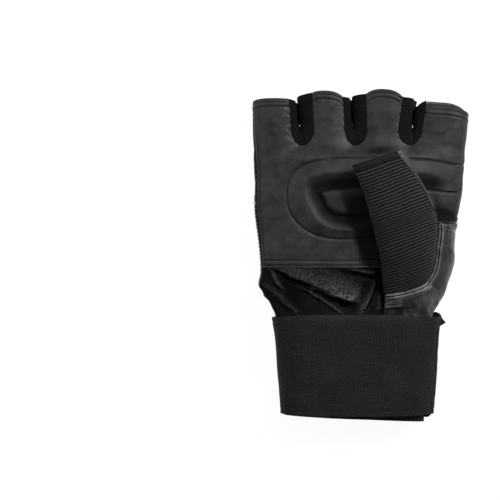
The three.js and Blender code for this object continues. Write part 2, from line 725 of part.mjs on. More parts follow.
function strapStart () {
  const angles = range(4, STRAP_START + 6, STRAP_START + 18)
  const corner = 3
  const rows = [0.4 * corner, 0, -0.5 * corner, ...range(5, -2 * corner, 2 * corner - WRAP_WIDTH)]
  rows.push(0.3 * corner - WRAP_WIDTH, -0.2 * corner - WRAP_WIDTH, -0.7 * corner - WRAP_WIDTH)
  const grid = far => rows.map(y => angles.map((angle, j) => {
    const above = smoothstep(-0.5, 0.4, y / corner)
    const below = smoothstep(0.3, -0.7, (y + WRAP_WIDTH) / corner)
    return strapSkin(angle, y, 2 * GAP + far + 0.4 * corner * Math.max(above, below) * j)
  }))
  return wall(grid(STRAP * 0.8), grid(0))
}

// A flat D, straight at the thumb's side and round at the little finger's
function flatD (fromX, length, width, z, thickness) {
  const middle = -WRAP_WIDTH / 2
  const round = Math.min(width * 0.55, length * 0.6)
  const shape = new THREE.Shape()
  shape.moveTo(fromX, middle - width / 2)
  shape.lineTo(fromX, middle + width / 2)
  shape.lineTo(fromX - length + round, middle + width / 2)
  shape.absellipse(fromX - length + round, middle, round, width / 2, Math.PI / 2, Math.PI * 3 / 2, false, 0)
  shape.closePath()
  const extrusion = { depth: thickness, bevelEnabled: false, curveSegments: 14 }
  return new THREE.ExtrudeGeometry(shape, extrusion).translate(0, 0, z)
}

const tipFrom = STRAP_END_X - 2 * GAP
const strapTip = () => flatD(tipFrom, TIP_LENGTH, TIP_WIDTH, PATCH + GAP, TIP)
const patchFrom = tipFrom - (TIP_LENGTH - PATCH_BORDER - PATCH_LENGTH)
const strapPatch = () => flatD(patchFrom, PATCH_LENGTH, TIP_WIDTH - 2 * PATCH_BORDER + 3, 0, PATCH)
const tapeFrom = tipFrom - (TIP_LENGTH - TAPE_BORDER - TAPE_LENGTH)
const hookTape = () => {
  return flatD(tapeFrom, TAPE_LENGTH, TIP_WIDTH - 2 * TAPE_BORDER, PATCH + TIP + 2 * GAP, TAPE)
}

// Materials
const finish = (color, roughness, metalness = 0) => ({ color, roughness, metalness })
const palmLeather = finish(0x3a3a3f, 0.55)
const heelLeather = finish(0x17171a, 0.32)
const backLeather = finish(0x2c2c30, 0.5)
const meshCloth = finish(0x151517, 0.9)
const ribCloth = finish(0x2a2a2d, 0.8)
const elastic = finish(0x1e1e20, 0.9)
const hooks = finish(0x111113, 0.8)
const welt = finish(0x4a4a4f, 0.5)

const pieces = [
  ['palm_panel', stalls(palmHem, 'front'), palmLeather],
  ['palm_pad', palmPad(), palmLeather],
  ['heel_panel', heelPanel(), heelLeather],
  ...GUSSETS.map((_, index) => [`gusset_${index + 1}`, gusset(index), meshCloth]),
  ['knuckle_panel', stalls(knuckleSeam, 'back'), backLeather],
  ['rib_panel', ribPanel(), ribCloth],
  ['back_panel', backPanel(), backLeather],
  ['thumb_rib', thumbRib(), ribCloth],
  ['thumb_leather', thumbLeather(), palmLeather],
  ['thumb_welt', thumbWelt(), welt],
  ['thumb_base', thumbBase(), palmLeather],
  ['cuff', cuff(), elastic],
  ['wrist_strap', wristStrap(), elastic],
  ['strap_start', strapStart(), elastic],
  ['strap_tip', strapTip(), elastic],
  ['strap_patch', strapPatch(), heelLeather],
  ['hook_tape', hookTape(), hooks]
]

const glove = new THREE.Group()
const box = new THREE.Box3()
for (const [name, geometry, look] of pieces) {
  const mesh = new THREE.Mesh(geometry, new THREE.MeshStandardMaterial(look))
  mesh.name = name
  geometry.computeBoundingBox()
  box.union(geometry.boundingBox)
  glove.add(mesh)
}

// The origin is under the middle of the glove, on the surface that it lies on.
const middle = box.getCenter(new THREE.Vector3())
glove.position.set(-middle.x, -middle.y, -box.min.z)

export default glove
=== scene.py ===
"""A right-hand weightlifting glove that lies on its back, palm up, with the thumb over the palm."""
import math

import bpy
import numpy as np
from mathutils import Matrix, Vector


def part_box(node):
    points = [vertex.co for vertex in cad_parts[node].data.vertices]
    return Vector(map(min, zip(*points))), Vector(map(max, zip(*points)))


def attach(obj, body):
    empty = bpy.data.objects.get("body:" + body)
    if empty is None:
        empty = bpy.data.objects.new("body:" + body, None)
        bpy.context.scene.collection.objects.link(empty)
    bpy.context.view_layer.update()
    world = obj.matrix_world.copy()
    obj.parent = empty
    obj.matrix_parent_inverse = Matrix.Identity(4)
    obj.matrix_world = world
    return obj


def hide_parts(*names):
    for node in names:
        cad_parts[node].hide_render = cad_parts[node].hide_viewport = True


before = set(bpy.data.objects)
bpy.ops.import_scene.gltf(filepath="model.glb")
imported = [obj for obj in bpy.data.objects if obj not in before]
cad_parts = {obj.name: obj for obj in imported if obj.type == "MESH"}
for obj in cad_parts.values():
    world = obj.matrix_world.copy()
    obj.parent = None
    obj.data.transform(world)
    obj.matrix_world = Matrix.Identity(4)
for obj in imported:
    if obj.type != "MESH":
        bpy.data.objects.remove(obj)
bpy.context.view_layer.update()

MM = 0.001
PER_METRE = 1000


def table(columns, *rows):
    """Rows of numbers as dicts, under the names of their columns."""
    return [dict(zip(columns.split(), row)) for row in rows]



# Sizes of the glove in millimetres, as in the CAD model
HAND_WIDTH = 125
PALM_LENGTH = 101.4
FINGER_LENGTH = 33
PALM_HEIGHT = 25
FINGER_HEIGHT = 20
THUMB_HEIGHT = 14
WRAP_WIDTH = 60
CUFF_LENGTH = 64
CUFF_SLANT = 4
TIP_LENGTH = 59
TIP_WIDTH = 57
PATCH_BORDER = 6
PATCH_LENGTH = 49
TAPE_BORDER = 11
TAPE_LENGTH = 40
LEATHER = 1.6
MESH_CLOTH = 1.3
RIB_CLOTH = 1.9
PAD_HEIGHT = 3
CUFF_WALL = 1.4
STRAP = 1.8
TIP = 2
PATCH = 1.4
TAPE = 0.8
WELT = 2.4
GAP = 0.35
CROTCH = PALM_LENGTH
STACK = PATCH + TIP + TAPE + STRAP + 4 * GAP
STRAP_RISE = STRAP + TAPE + 2 * GAP
THUMB_FLOOR = PALM_HEIGHT + PAD_HEIGHT + 2 * GAP
SEAM_ANGLE = 168
WRAP_ROUND_ANGLE = -20
SIDE_SEAM_ANGLE = -17
PALM_HEM = 0.278
THUMB_HOLE = 0.542
KNUCKLE_SEAM_LEFT = 0.665
KNUCKLE_SEAM_RIGHT = 0.865
RIB_SEAM = 0.382
TUCK = 4
ROUND_CROTCH = 0.30
HAND_MIDDLE = 0.44
FINGER_MIDDLE = 0.46
ARCH_POWER = 2.4
THUMB_POWER = 2.3
WRIST_BACK_POWER = 6
HAND_BACK_POWER = 3.2
FINGER_BACK_POWER = 3
THUMB_CROTCH = 0.36
STRAP_START = 333
STRAP_END_X = HAND_WIDTH * 0.125

# Sewing and cloth, in millimetres
RIB_PITCH = 2.2
THUMB_RIB_PITCH = 2.0
RIB_DEPTH = 0.75
HEM = 5
FOLD = 2.4
STITCH = 2.1
STITCH_PITCH = 3.0
THREAD = 0.42
SMALL_STITCHES = dict(pitch=2.6, length=1.7)
THUMB_STITCHES = dict(pitch=1.9, length=1.2)
PALM_HEM_LINES = (1.0, 4.1)
KNUCKLE_HEM_LINE = 4.0
KNUCKLE_SEAM_LINES = (0.9, 3.4)
LOWER_BACK_LINES = (1.2, 4.5)
THUMB_HEM = 4.2
THUMB_FOLD = 2.2
# How much shade is painted into the fold beside the thumb
FOLD_PAINTED_SHADE = 1.6
SEAM_ALLOWANCE = 1.3

# How far each side of the crotches the hand's oval turns into the fingers' ovals
HAND_ENDS = 9
FINGERS_BEGIN = 7
FINGER_WIDTH = 27

# Shares of PALM_LENGTH at which the glove's back and palm have come down from the wrap, and at
# which the back has its own curve
BACK_DOWN = 0.34
PALM_DOWN = (-0.05, 0.16)
BACK_CURVED = 0.3

# Where the heel leather ends, as a share of the middle finger's width, and the share of
# PALM_LENGTH at which a column's place across the hand is measured
HEEL_END = 0.4
WIDTH_MEASURED = 0.3

# Sides of the hand and wrist. along: share of PALM_LENGTH. left, right: shares of HAND_WIDTH.
# top: share of PALM_HEIGHT.
SIDES = table(
    "along left right top",
    (-0.66, -0.372, 0.300, 1.02),
    (-0.36, -0.386, 0.316, 1.05),
    (-0.03, -0.414, 0.337, 1.04),
    (0.06, -0.444, 0.363, 1.02),
    (0.12, -0.476, 0.378, 1.01),
    (0.17, -0.497, 0.396, 1.00),
    (0.26, -0.486, 0.421, 1.00),
    (0.37, -0.491, 0.421, 1.00),
    (0.46, -0.499, 0.435, 1.00),
    (0.52, -0.506, 0.463, 1.00),
    (0.62, -0.515, 0.475, 1.00),
    (0.75, -0.513, 0.490, 0.99),
    (1.00, -0.521, 0.509, 0.93),
    (1.40, -0.526, 0.536, 0.80),
)

# Open ends of the finger stalls, shares of FINGER_LENGTH, at the left, middle and right of each
FINGERS = [
    dict(front=(0.80, 0.85, 0.842), back=(0.76, 0.82, 0.82)),
    dict(front=(0.955, 0.985, 0.882), back=(0.93, 0.95, 0.86)),
    dict(front=(0.936, 1.018, 0.879), back=(0.91, 0.98, 0.86)),
    dict(front=(0.727, 0.652, 0.50), back=(0.83, 0.79, 0.60)),
]

# Sidewalls between the fingers. bottom, top: where the middle line starts and ends across the
# hand. left, right: how far each side opens. All are shares of HAND_WIDTH. notches: heights of the
# middle line's two ends, and web: height of its lowest place, shares of FINGER_LENGTH.
GUSSETS = [
    dict(bottom=-0.290, top=-0.306, left=0.0456, right=0.0672, notches=(0.80, 0.905), web=0.36),
    dict(bottom=-0.034, top=-0.043, left=0.0456, right=0.0640, notches=(0.86, 0.91), web=0.37),
    dict(bottom=0.237, top=0.275, left=0.0736, right=0.0448, notches=(0.85, 0.72), web=0.33),
]

# Sections of the thumb, base to tip. leftX, rightX: shares of HAND_WIDTH. leftY, rightY: shares of
# PALM_LENGTH. centre, tilt, crest: shares of THUMB_HEIGHT. bow: share of PALM_LENGTH.
THUMB = table(
    "along leftX leftY rightX rightY",
    (0.00, 0.100, 0.130, 0.304, 0.196),
    (0.06, 0.094, 0.206, 0.336, 0.265),
    (0.15, 0.083, 0.305, 0.350, 0.393),
    (0.30, 0.061, 0.423, 0.357, 0.512),
    (0.50, 0.040, 0.537, 0.328, 0.645),
    (0.75, 0.002, 0.704, 0.256, 0.822),
    (1.00, -0.053, 0.872, 0.192, 0.968),
)
THUMB_RISE = table(
    "along centre tilt crest bow",
    (0.00, 0.02, 0.04, 0.30, 0.022),
    (0.06, 0.06, 0.08, 0.55, 0.012),
    (0.15, 0.16, 0.12, 0.74, 0.004),
    (0.30, 0.33, 0.08, 0.64, 0),
    (0.50, 0.48, 0.00, 0.52, 0),
    (0.75, 0.50, 0.00, 0.50, 0),
    (1.00, 0.50, 0.00, 0.46, 0),
)

# Middle line and half width of the padded C. x: share of HAND_WIDTH. y, half: of PALM_LENGTH.
PAD = table(
    "x y half",
    (0.440, 0.806, 0.078),
    (0.300, 0.828, 0.084),
    (0.120, 0.837, 0.086),
    (-0.060, 0.836, 0.086),
    (-0.190, 0.822, 0.088),
    (-0.268, 0.778, 0.092),
    (-0.281, 0.700, 0.098),
    (-0.256, 0.620, 0.101),
    (-0.206, 0.554, 0.086),
    (-0.130, 0.519, 0.070),
    (-0.040, 0.517, 0.068),
    (0.030, 0.520, 0.066),
)
for number, row in enumerate(PAD):
    row["along"] = number / (len(PAD) - 1)

# Folds of the heel leather. x0, y0 to x1, y1: ends of each ridge, shares of HAND_WIDTH and
# PALM_LENGTH. wide: how far it slopes to its upper right, steep: to its lower left, and high, shares
# of PALM_HEIGHT. shine: how strong the highlight painted on its upper side is.
HEEL_FOLDS = table(
    "x0 y0 x1 y1 wide steep high shine",
    (-0.390, 0.262, -0.055, 0.082, 0.34, 0.055, 0.085, 0.75),
    (-0.230, 0.150, -0.055, 0.078, 0.20, 0.050, 0.050, 1.2),
    (-0.260, 0.135, -0.125, 0.020, 0.045, 0.03, 0.030, 0.55),
    (-0.432, 0.240, -0.392, 0.170, 0.045, 0.03, 0.035, 0.7),
    (-0.451, 0.167, -0.322, 0.014, 0.075, 0.04, 0.040, 0.35),
    (0.050, 0.150, 0.008, 0.030, 0.075, 0.05, 0.050, 0.7),
    (-0.070, 0.268, 0.060, 0.235, 0.08, 0.06, 0.025, 0.35),
)

# Soft dents of the palm leather. x, y: middle. wide, tall: half sizes. turn: degrees. All in mm.
# soot: how much shade is painted into it.
DENTS = table(
    "x y wide tall turn deep soot",
    (-22, 97.5, 13, 3.2, -4, 1.0, 0.45),
    (10, 97.8, 11, 2.8, 3, 1.3, 1.2),
    (42, 95.5, 10, 4.0, -25, 0.5, 0.10),
    (-46, 97.0, 9, 4.0, 10, 0.4, 0.05),
    (-52, 62.0, 3.5, 16, -4, 0.4, 0.0),
    (49, 58.6, 8.0, 4.4, -10, 2.0, 2.4),
    (49, 84, 11, 7, 0, 0, 0.30),
    (44.5, 67.0, 1.8, 6.0, 14, 0.6, 0.9),
)


def lerp(a, b, t):
    return a + (b - a) * t


def smoothstep(low, high, value):
    t = np.clip((value - low) / (high - low), 0, 1)
    return t * t * (3 - 2 * t)


def bump(distance, width):
    """A round bump of height 1 at distance 0."""
    return np.exp(-((distance / width) ** 2))


def vector(x, y, z):
    return np.stack(np.broadcast_arrays(x, y, z), -1).astype(float)


def unit(v):
    return v / np.maximum(np.linalg.norm(v, axis=-1, keepdims=True), 1e-9)


# Cells of the noise, each way, before it repeats
LATTICE = 64


def noise(x, y, size, seed):
    """Smooth noise from -1 to 1, whose features are about that size."""
    lattice = np.random.default_rng(seed).uniform(-1, 1, (LATTICE, LATTICE))
    u, v = np.broadcast_arrays(x / size, y / size)
    i, j = np.floor(u).astype(int), np.floor(v).astype(int)
    s, t = smoothstep(0, 1, u - i), smoothstep(0, 1, v - j)
    i, j = i % LATTICE, j % LATTICE
    after_i, after_j = (i + 1) % LATTICE, (j + 1) % LATTICE
    low = lerp(lattice[i, j], lattice[after_i, j], s)
    high = lerp(lattice[i, after_j], lattice[after_i, after_j], s)
    return lerp(low, high, t)


def creases(x, y, size, seed):
    """Sharp valleys between round swellings, 0 in a valley and 1 on a swelling."""
    bend = size * 0.6 * noise(x, y, size * 1.7, seed + 50)
    return np.abs(noise(x + bend, y - bend, size, seed)) ** 0.6


def follow(table, column, along):
    """Smooth curve through one column of a table that is sorted by along."""
    places = np.array([row["along"] for row in table])
    values = np.array([row[column] for row in table], float)
    along = np.asarray(along, float)
    i = np.searchsorted(places[1:-1], along, side="left")
    before, after = np.maximum(i - 1, 0), np.minimum(i + 2, len(table) - 1)
    step = places[i + 1] - places[i]
    t = np.clip((along - places[i]) / step, 0, 1)
    slope_in = (values[i + 1] - values[before]) / (places[i + 1] - places[before]) * step
    slope_out = (values[after] - values[i]) / (places[after] - places[i]) * step
    start = (2 * t**3 - 3 * t**2 + 1) * values[i] + (t**3 - 2 * t**2 + t) * slope_in
    return start + (3 * t**2 - 2 * t**3) * values[i + 1] + (t**3 - t**2) * slope_out


# The sections of the hand, fingers and thumb are ovals of two halves.


def signed_power(value, power):
    return np.sign(value) * np.abs(value) ** power


def oval_half(oval, upper):
    power = np.where(upper, oval["top_power"], oval["bottom_power"])
    return power, np.where(upper, oval["top"] - oval["middle"], oval["middle"] - oval["bottom"])


def oval_normal(oval, across, up, power, rise):
    sideways = signed_power(across, power - 1) / oval["half"]
    return unit(vector(sideways, 0, signed_power(up, power - 1) / rise))


def oval_point(oval, degrees):
    angle = np.radians(degrees)
    cosine, sine = np.cos(angle), np.sin(angle)
    power, rise = oval_half(oval, sine >= 0)
    across, up = signed_power(cosine, 2 / power), signed_power(sine, 2 / power)
    point = vector(oval["centre"] + oval["half"] * across, 0, oval["middle"] + rise * up)
    return point, oval_normal(oval, across, up, power, rise)


def angle_at(oval, x):
    across = np.clip((x - oval["centre"]) / oval["half"], -1, 1)
    return np.degrees(np.arccos(signed_power(across, oval["top_power"] / 2)))


def section(left, right, bottom, top, middle, bottom_power):
    """The oval between two sides. middle: share of the height where its two halves meet."""
    return dict(
        centre=(left + right) / 2,
        half=(right - left) / 2,
        bottom=bottom,
        middle=lerp(bottom, top, middle),
        top=top,
        top_power=ARCH_POWER,
        bottom_power=bottom_power,
    )


def hand_oval(y):
    along = y / PALM_LENGTH
    left = follow(SIDES, "left", along) * HAND_WIDTH
    right = follow(SIDES, "right", along) * HAND_WIDTH
    lift = STACK * (1 - smoothstep(0, BACK_DOWN, along))
    lift_of_palm = STACK / 2 * (1 - smoothstep(*PALM_DOWN, along))
    top = follow(SIDES, "top", along) * PALM_HEIGHT + lift_of_palm
    power = lerp(WRIST_BACK_POWER, HAND_BACK_POWER, smoothstep(0, BACK_CURVED, along))
    return section(left, right, lift, top, HAND_MIDDLE, power)


def hand_point(degrees, y):
    degrees, y = np.broadcast_arrays(np.asarray(degrees, float), np.asarray(y, float))
    point, normal = oval_point(hand_oval(y), degrees)
    point[..., 1] = y
    return point, normal


def reach_at(y):
    """How far past the crotches a place lies, as a share of FINGER_LENGTH."""
    return (y - CROTCH) / FINGER_LENGTH


def gusset_middle(index, y):
    gusset = GUSSETS[index]
    return HAND_WIDTH * lerp(gusset["bottom"], gusset["top"], np.clip(reach_at(y), 0, 1))


def gusset_opening(y):
    """How far a sidewall is open, round at its crotch and 1 above it."""
    rise = np.clip(reach_at(y) / ROUND_CROTCH, 0, 1)
    return np.maximum(0.2, np.sqrt(1 - (1 - rise) ** 2))


def finger_oval(finger, y):
    hand = hand_oval(y)
    left = hand["centre"] - hand["half"]
    right = hand["centre"] + hand["half"]
    if finger > 0:
        left = gusset_middle(finger - 1, y)
    if finger < len(FINGERS) - 1:
        right = gusset_middle(finger, y)
    return section(left, right, 0, FINGER_HEIGHT, FINGER_MIDDLE, FINGER_BACK_POWER)


def skin_point(finger, t, y, front):
    """Points of the glove's skin at share t across one finger's front or back, at any y."""
    t, y = np.broadcast_arrays(np.asarray(t, float), np.asarray(y, float))
    hand, oval = hand_oval(y), finger_oval(finger, y)
    gap_angle = 0 if front else math.degrees(GAP / (PALM_HEIGHT / 2))
    seam = SEAM_ANGLE + gap_angle
    wrap = WRAP_ROUND_ANGLE if front else 360 + WRAP_ROUND_ANGLE - gap_angle

    def edge_angle(section, gusset, side, sign):
        away = sign * GUSSETS[gusset][side] * HAND_WIDTH * gusset_opening(y)
        angle = angle_at(section, gusset_middle(gusset, y) + away)
        return angle if front else 360 - angle

    def angles(section):
        start = edge_angle(section, finger - 1, "right", 1) if finger > 0 else seam
        end = edge_angle(section, finger, "left", -1) if finger < len(FINGERS) - 1 else wrap
        return lerp(start, end, t)

    on_hand, hand_out = oval_point(hand, angles(hand))
    on_finger, finger_out = oval_point(oval, angles(oval))
    share = smoothstep(CROTCH - HAND_ENDS, CROTCH + FINGERS_BEGIN, y)[..., None]
    point = lerp(on_hand, on_finger, share)
    point[..., 1] = y
    return point, unit(lerp(hand_out, finger_out, share))


# Grids across the hand. A column is one line that runs along a finger and down the hand.


class Columns:
    """finger, t: each column's finger and its place across it. x: share of HAND_WIDTH."""

    def __init__(self, fingers):
        self.finger = np.concatenate([np.full(len(t), number) for number, t in fingers])
        self.t = np.concatenate([t for _, t in fingers])
        self.count = len(self.t)
        y = np.full((1, self.count), PALM_LENGTH * WIDTH_MEASURED)
        self.x = self.skin(y, True)[0][0, :, 0] / HAND_WIDTH
        self.between = self.finger[1:] != self.finger[:-1]

    def skin(self, y, front):
        points, normals = np.zeros((*y.shape, 3)), np.zeros((*y.shape, 3))
        for finger in np.unique(self.finger):
            own = self.finger == finger
            points[:, own], normals[:, own] = skin_point(finger, self.t[own], y[:, own], front)
        return points, normals

    def ends(self, side):
        left, middle, right = np.array([row[side] for row in FINGERS]).T[:, self.finger]
        bend = 2 * (middle - (left + right) / 2)
        share = lerp(left, right, self.t) + bend * 2 * self.t * (1 - self.t)
        return CROTCH + FINGER_LENGTH * share


PER_FINGER = 34
EDGE_EASE = 0.12
SHARES = smoothstep(0, 1, np.linspace(EDGE_EASE, 1 - EDGE_EASE, PER_FINGER))
SHARES = (SHARES - SHARES[0]) / (SHARES[-1] - SHARES[0])
COLUMNS = Columns([(number, SHARES) for number in range(len(FINGERS))])
HEEL_COLUMNS = Columns([(0, SHARES), (1, SHARES), (2, np.linspace(0, HEEL_END, 15))])


def palm_hem(columns):
    return PALM_LENGTH * lerp(PALM_HEM, THUMB_HOLE, smoothstep(0.10, 0.30, columns.x))


def knuckle_seam(columns):
    share = smoothstep(-0.42, 0.42, columns.x)
    return PALM_LENGTH * lerp(KNUCKLE_SEAM_LEFT, KNUCKLE_SEAM_RIGHT, share)


def rib_seam(columns):
    bow = 0.30 * (columns.x + 0.02) ** 2
    return PALM_LENGTH * (RIB_SEAM - bow - 0.03 * smoothstep(0, -0.5, columns.x))


def rows_between(low, high, plain, low_band=(0, 0), high_band=(0, 0)):
    """Rows from one line to the other. A band is (width, rows), which are closer together there."""
    parts = []
    if low_band[1]:
        parts.append(low + low_band[0] * np.linspace(0, 1, low_band[1])[:-1, None])
    start, end = low + low_band[0], high - high_band[0]
    parts.append(lerp(start, end, np.linspace(0, 1, plain)[:, None]))
    if high_band[1]:
        parts.append(end + high_band[0] * np.linspace(0, 1, high_band[1])[1:, None])
    return np.concatenate(parts)


# Meshes
SHARP_ANGLE = math.radians(50)
RIM_ANGLE = math.radians(60)


def lengths(points, axis):
    """Millimetres along one direction of a grid, as one number for each row or column."""
    steps = np.linalg.norm(np.diff(points, axis=axis), axis=-1).mean(axis=1 - axis)
    return np.r_[0, np.cumsum(steps)]


def wall(name, outer, inner, closed=False, there=None, wear=None, turned=0):
    """A closed wall between two grids of points, with UVs in millimetres. turned: how many of the
    last rows show the outer material inside too, as a hem that is turned in does."""
    rows, columns = outer.shape[:2]
    cells = columns if closed else columns - 1
    width = cells + 1
    present = np.ones((rows - 1, cells), bool) if there is None else there
    number = np.arange(rows * width).reshape(rows, width)
    a, b, c, d = number[:-1, :-1], number[:-1, 1:], number[1:, 1:], number[1:, :-1]
    under = rows * width

    def beside(axis, step):
        moved = np.roll(present, step, axis)
        if axis == 1 and closed:
            return moved
        edge = [slice(None), slice(None)]
        edge[axis] = 0 if step > 0 else -1
        moved[tuple(edge)] = False
        return moved

    def quads(corners, where):
        return np.stack([np.broadcast_to(k, present.shape)[where] for k in corners], -1)

    faces = [quads((a, b, c, d), present), quads((a + under, d + under, c + under, b + under), present)]
    rims = [
        ((a, a + under, b + under, b), beside(0, 1)),
        ((d, c, c + under, d + under), beside(0, -1)),
        ((a, d, d + under, a + under), beside(1, 1)),
        ((b, b + under, c + under, c), beside(1, -1)),
    ]
    faces += [quads(corners, present & ~neighbour) for corners, neighbour in rims]
    layer = np.concatenate([np.full(len(part), int(k == 1)) for k, part in enumerate(faces)])
    last_rows = np.nonzero(present)[0] >= rows - 1 - turned
    layer[len(faces[0]):len(faces[0]) + len(faces[1])] = ~last_rows
    faces = np.concatenate(faces)

    wrap = np.arange(width) % columns
    points = np.concatenate([outer[:, wrap].reshape(-1, 3), inner[:, wrap].reshape(-1, 3)])
    u = lengths(outer[:, wrap], 1)
    v = lengths(outer, 0)
    uv = np.tile(np.stack(np.broadcast_arrays(u[None, :], v[:, None]), -1).reshape(-1, 2), (2, 1))
    worn_and_painted_light = np.zeros(len(points)) if wear is None else np.tile(wear[:, wrap].reshape(-1), 2)
    joined = np.arange(rows)[:, None] * width + wrap[None, :]
    joined = np.concatenate([joined.reshape(-1), joined.reshape(-1) + under])
    return mesh_piece(name, points, faces, uv, joined, layer, worn_and_painted_light)


def mesh_piece(name, points, faces, uv, joined, layer, worn_and_painted_light):
    """points, uv and the values of rubbing, painted highlight and painted shade have one row for each number
    in faces. joined says which are one point.
    """
    used, numbers = np.unique(joined[faces], return_inverse=True)
    corners = numbers.reshape(faces.shape)
    place = points[used]
    volume = 0
    for k in range(1, faces.shape[1] - 1):
        p, q, r = place[corners[:, 0]], place[corners[:, k]], place[corners[:, k + 1]]
        volume += np.einsum("ij,ij->i", p, np.cross(q, r)).sum()
    if volume < 0:
        corners, faces = corners[:, ::-1], faces[:, ::-1]
    mesh = bpy.data.meshes.new(name)
    mesh.from_pydata((place * MM).tolist(), [], corners.tolist())
    mesh.uv_layers.new(name="Millimetres").data.foreach_set("uv", uv[faces].reshape(-1))
    mesh.polygons.foreach_set("material_index", layer.astype(np.int32))
    # The attribute carries rubbing, painted highlights and painted shade to the materials.
    mesh.attributes.new("wear", "FLOAT", "POINT").data.foreach_set("value", worn_and_painted_light[used].astype(np.float32))
    mesh.shade_smooth()
    mesh.set_sharp_from_angle(angle=SHARP_ANGLE)
    piece = bpy.data.objects.new(name, mesh)
    bpy.context.scene.collection.objects.link(piece)
    return piece


def finish(piece, nodes, slot, *materials, rim=0.0):
    """Materials, rounded rims, and what the piece stands for."""
    for made in materials:
        piece.data.materials.append(made)
    if rim:
        round_rim = piece.modifiers.new("rim", "BEVEL")
        round_rim.width = rim * MM
        round_rim.segments = 2
        round_rim.limit_method = "ANGLE"
        round_rim.angle_limit = RIM_ANGLE
        round_rim.harden_normals = True
    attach(piece, "root")
    if nodes:
        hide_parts(*nodes)
    return piece


def placed(points):
    """From the glove's own coordinates to the shared frame."""
    return points + SHIFT


# The strap's patch gives the shift: its own place is known, and its box is in the shared frame.
TIP_FROM = STRAP_END_X - 2 * GAP
PATCH_FROM = TIP_FROM - (TIP_LENGTH - PATCH_BORDER - PATCH_LENGTH)
TAPE_FROM = TIP_FROM - (TIP_LENGTH - TAPE_BORDER - TAPE_LENGTH)
patch_low, patch_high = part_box("strap_patch")
SHIFT = np.array([
    patch_high.x * PER_METRE - PATCH_FROM,
    (patch_low.y + patch_high.y) / 2 * PER_METRE + WRAP_WIDTH / 2,
    patch_low.z * PER_METRE,
])


def raised(points, normals, out):
    """The points moved out along their normals, in the shared frame."""
    return placed(points + normals * np.asarray(out)[..., None])


def skin_wall(name, points, normals, thickness, out, **options):
    inner = raised(points, normals, np.minimum(out * 0.7, 0.3) - thickness)
    return wall(name, raised(points, normals, out), inner, **options)


# Stitches


def stitch_row(path, normals, pitch=STITCH_PITCH, length=STITCH, thread=THREAD, lift=0.12):
    """Thread along a path in the shared frame, as points and faces of small capsules."""
    steps = np.linalg.norm(np.diff(path, axis=0), axis=1)
    places = np.r_[0, np.cumsum(steps)]
    starts = np.arange(pitch * 0.3, places[-1] - length, pitch)
    rings = np.array([(0.0, 0.15), (0.12, 0.8), (0.35, 1.0), (0.65, 1.0), (0.88, 0.8), (1.0, 0.15)])
    turns = np.radians(np.arange(0, 360, 60))
    points, faces = [], []

    def along(values, where):
        return np.stack([np.interp(where, places, values[:, k]) for k in range(3)], -1)

    for start in starts:
        where = start + length * rings[:, 0]
        middle = along(path, where)
        up = unit(along(normals, where))
        tangent = unit(along(path, where + 0.1) - along(path, where - 0.1))
        side = unit(np.cross(tangent, up))
        sink = lift - 0.5 * thread * (2 * rings[:, 0] - 1) ** 2
        middle = middle + up * sink[:, None]
        ring = np.cos(turns)[None, :, None] * side[:, None] + np.sin(turns)[None, :, None] * up[:, None]
        base = len(points) * len(rings) * len(turns)
        points.append((middle[:, None] + ring * (rings[:, 1] * thread / 2)[:, None, None]).reshape(-1, 3))
        for i in range(len(rings) - 1):
            for j in range(len(turns)):
                k = (j + 1) % len(turns)
                row, above = base + i * len(turns), base + (i + 1) * len(turns)
                faces.append((row + j, row + k, above + k, above + j))
    if not points:
        return np.zeros((0, 3)), np.zeros((0, 4), int)
    return np.concatenate(points), np.array(faces)


def thread_piece(name, rows, made):
    """One piece of all the stitch rows."""
    points, faces, count = [], [], 0
    for row_points, row_faces in rows:
        points.append(row_points)
        faces.append(row_faces + count)
        count += len(row_points)
    points, faces = np.concatenate(points), np.concatenate(faces)
    numbers, layer, worn_and_painted_light = np.arange(len(points)), np.zeros(len(faces)), np.zeros(len(points))
    piece = mesh_piece(name, points, faces, points[:, :2], numbers, layer, worn_and_painted_light)
    return finish(piece, (), None, made)


def skin_stitches(columns, y, front, relief, across=False, **options):
    """A stitch row across every finger in turn, or across the hand, at one y for each column."""
    points, normals = columns.skin(np.atleast_2d(y), front)
    out = relief(points[0], columns)
    inside = (columns.t >= 0.05) & (columns.t <= 0.95)
    groups = [inside & (columns.finger == finger) for finger in np.unique(columns.finger)]
    if across:
        groups = [np.ones(columns.count, bool)]
    rows = []
    for own in groups:
        rows.append(stitch_row(raised(points[0, own], normals[0, own], out[own]), normals[0, own], **options))
    return rows


# Materials. Their patterns are in millimetres: the object's own space, or the UVs above.


def node(tree, kind, settings=None, **inputs):
    made = tree.nodes.new(kind)
    for name, value in (settings or {}).items():
        setattr(made, name, value)
    for name, value in inputs.items():
        socket = made.inputs[int(name[1:])] if name[0] == "_" else made.inputs[name.replace("_", " ")]
        if isinstance(value, bpy.types.NodeSocket):
            tree.links.new(value, socket)
        else:
            socket.default_value = value
    return made.outputs[0]


def math_node(tree, operation, a, b=0.0, c=0.0):
    return node(tree, "ShaderNodeMath", {"operation": operation}, _0=a, _1=b, _2=c)


def remap(tree, value, low, high, to_low, to_high):
    return node(
        tree, "ShaderNodeMapRange", Value=value, From_Min=low, From_Max=high, To_Min=to_low, To_Max=to_high
    )


def mix(tree, share, a, b):
    made = tree.nodes.new("ShaderNodeMix")
    made.data_type = "RGBA"
    tree.links.new(share, made.inputs["Factor"])
    for socket, value in ((made.inputs[6], a), (made.inputs[7], b)):
        if isinstance(value, bpy.types.NodeSocket):
            tree.links.new(value, socket)
        else:
            socket.default_value = (*value, 1)
    return made.outputs[2]


def start_material(name, **values):
    made = bpy.data.materials.new(name)
    made.use_nodes = True
    tree = made.node_tree
    shader = tree.nodes["Principled BSDF"]
    for socket, value in values.items():
        shader.inputs[socket.replace("_", " ")].default_value = value
    return made, tree, shader


def millimetres(tree):
    """The place in the object's own space."""
    metres = tree.nodes.new("ShaderNodeTexCoord").outputs["Object"]
    return node(tree, "ShaderNodeVectorMath", {"operation": "SCALE"}, Vector=metres, Scale=PER_METRE)


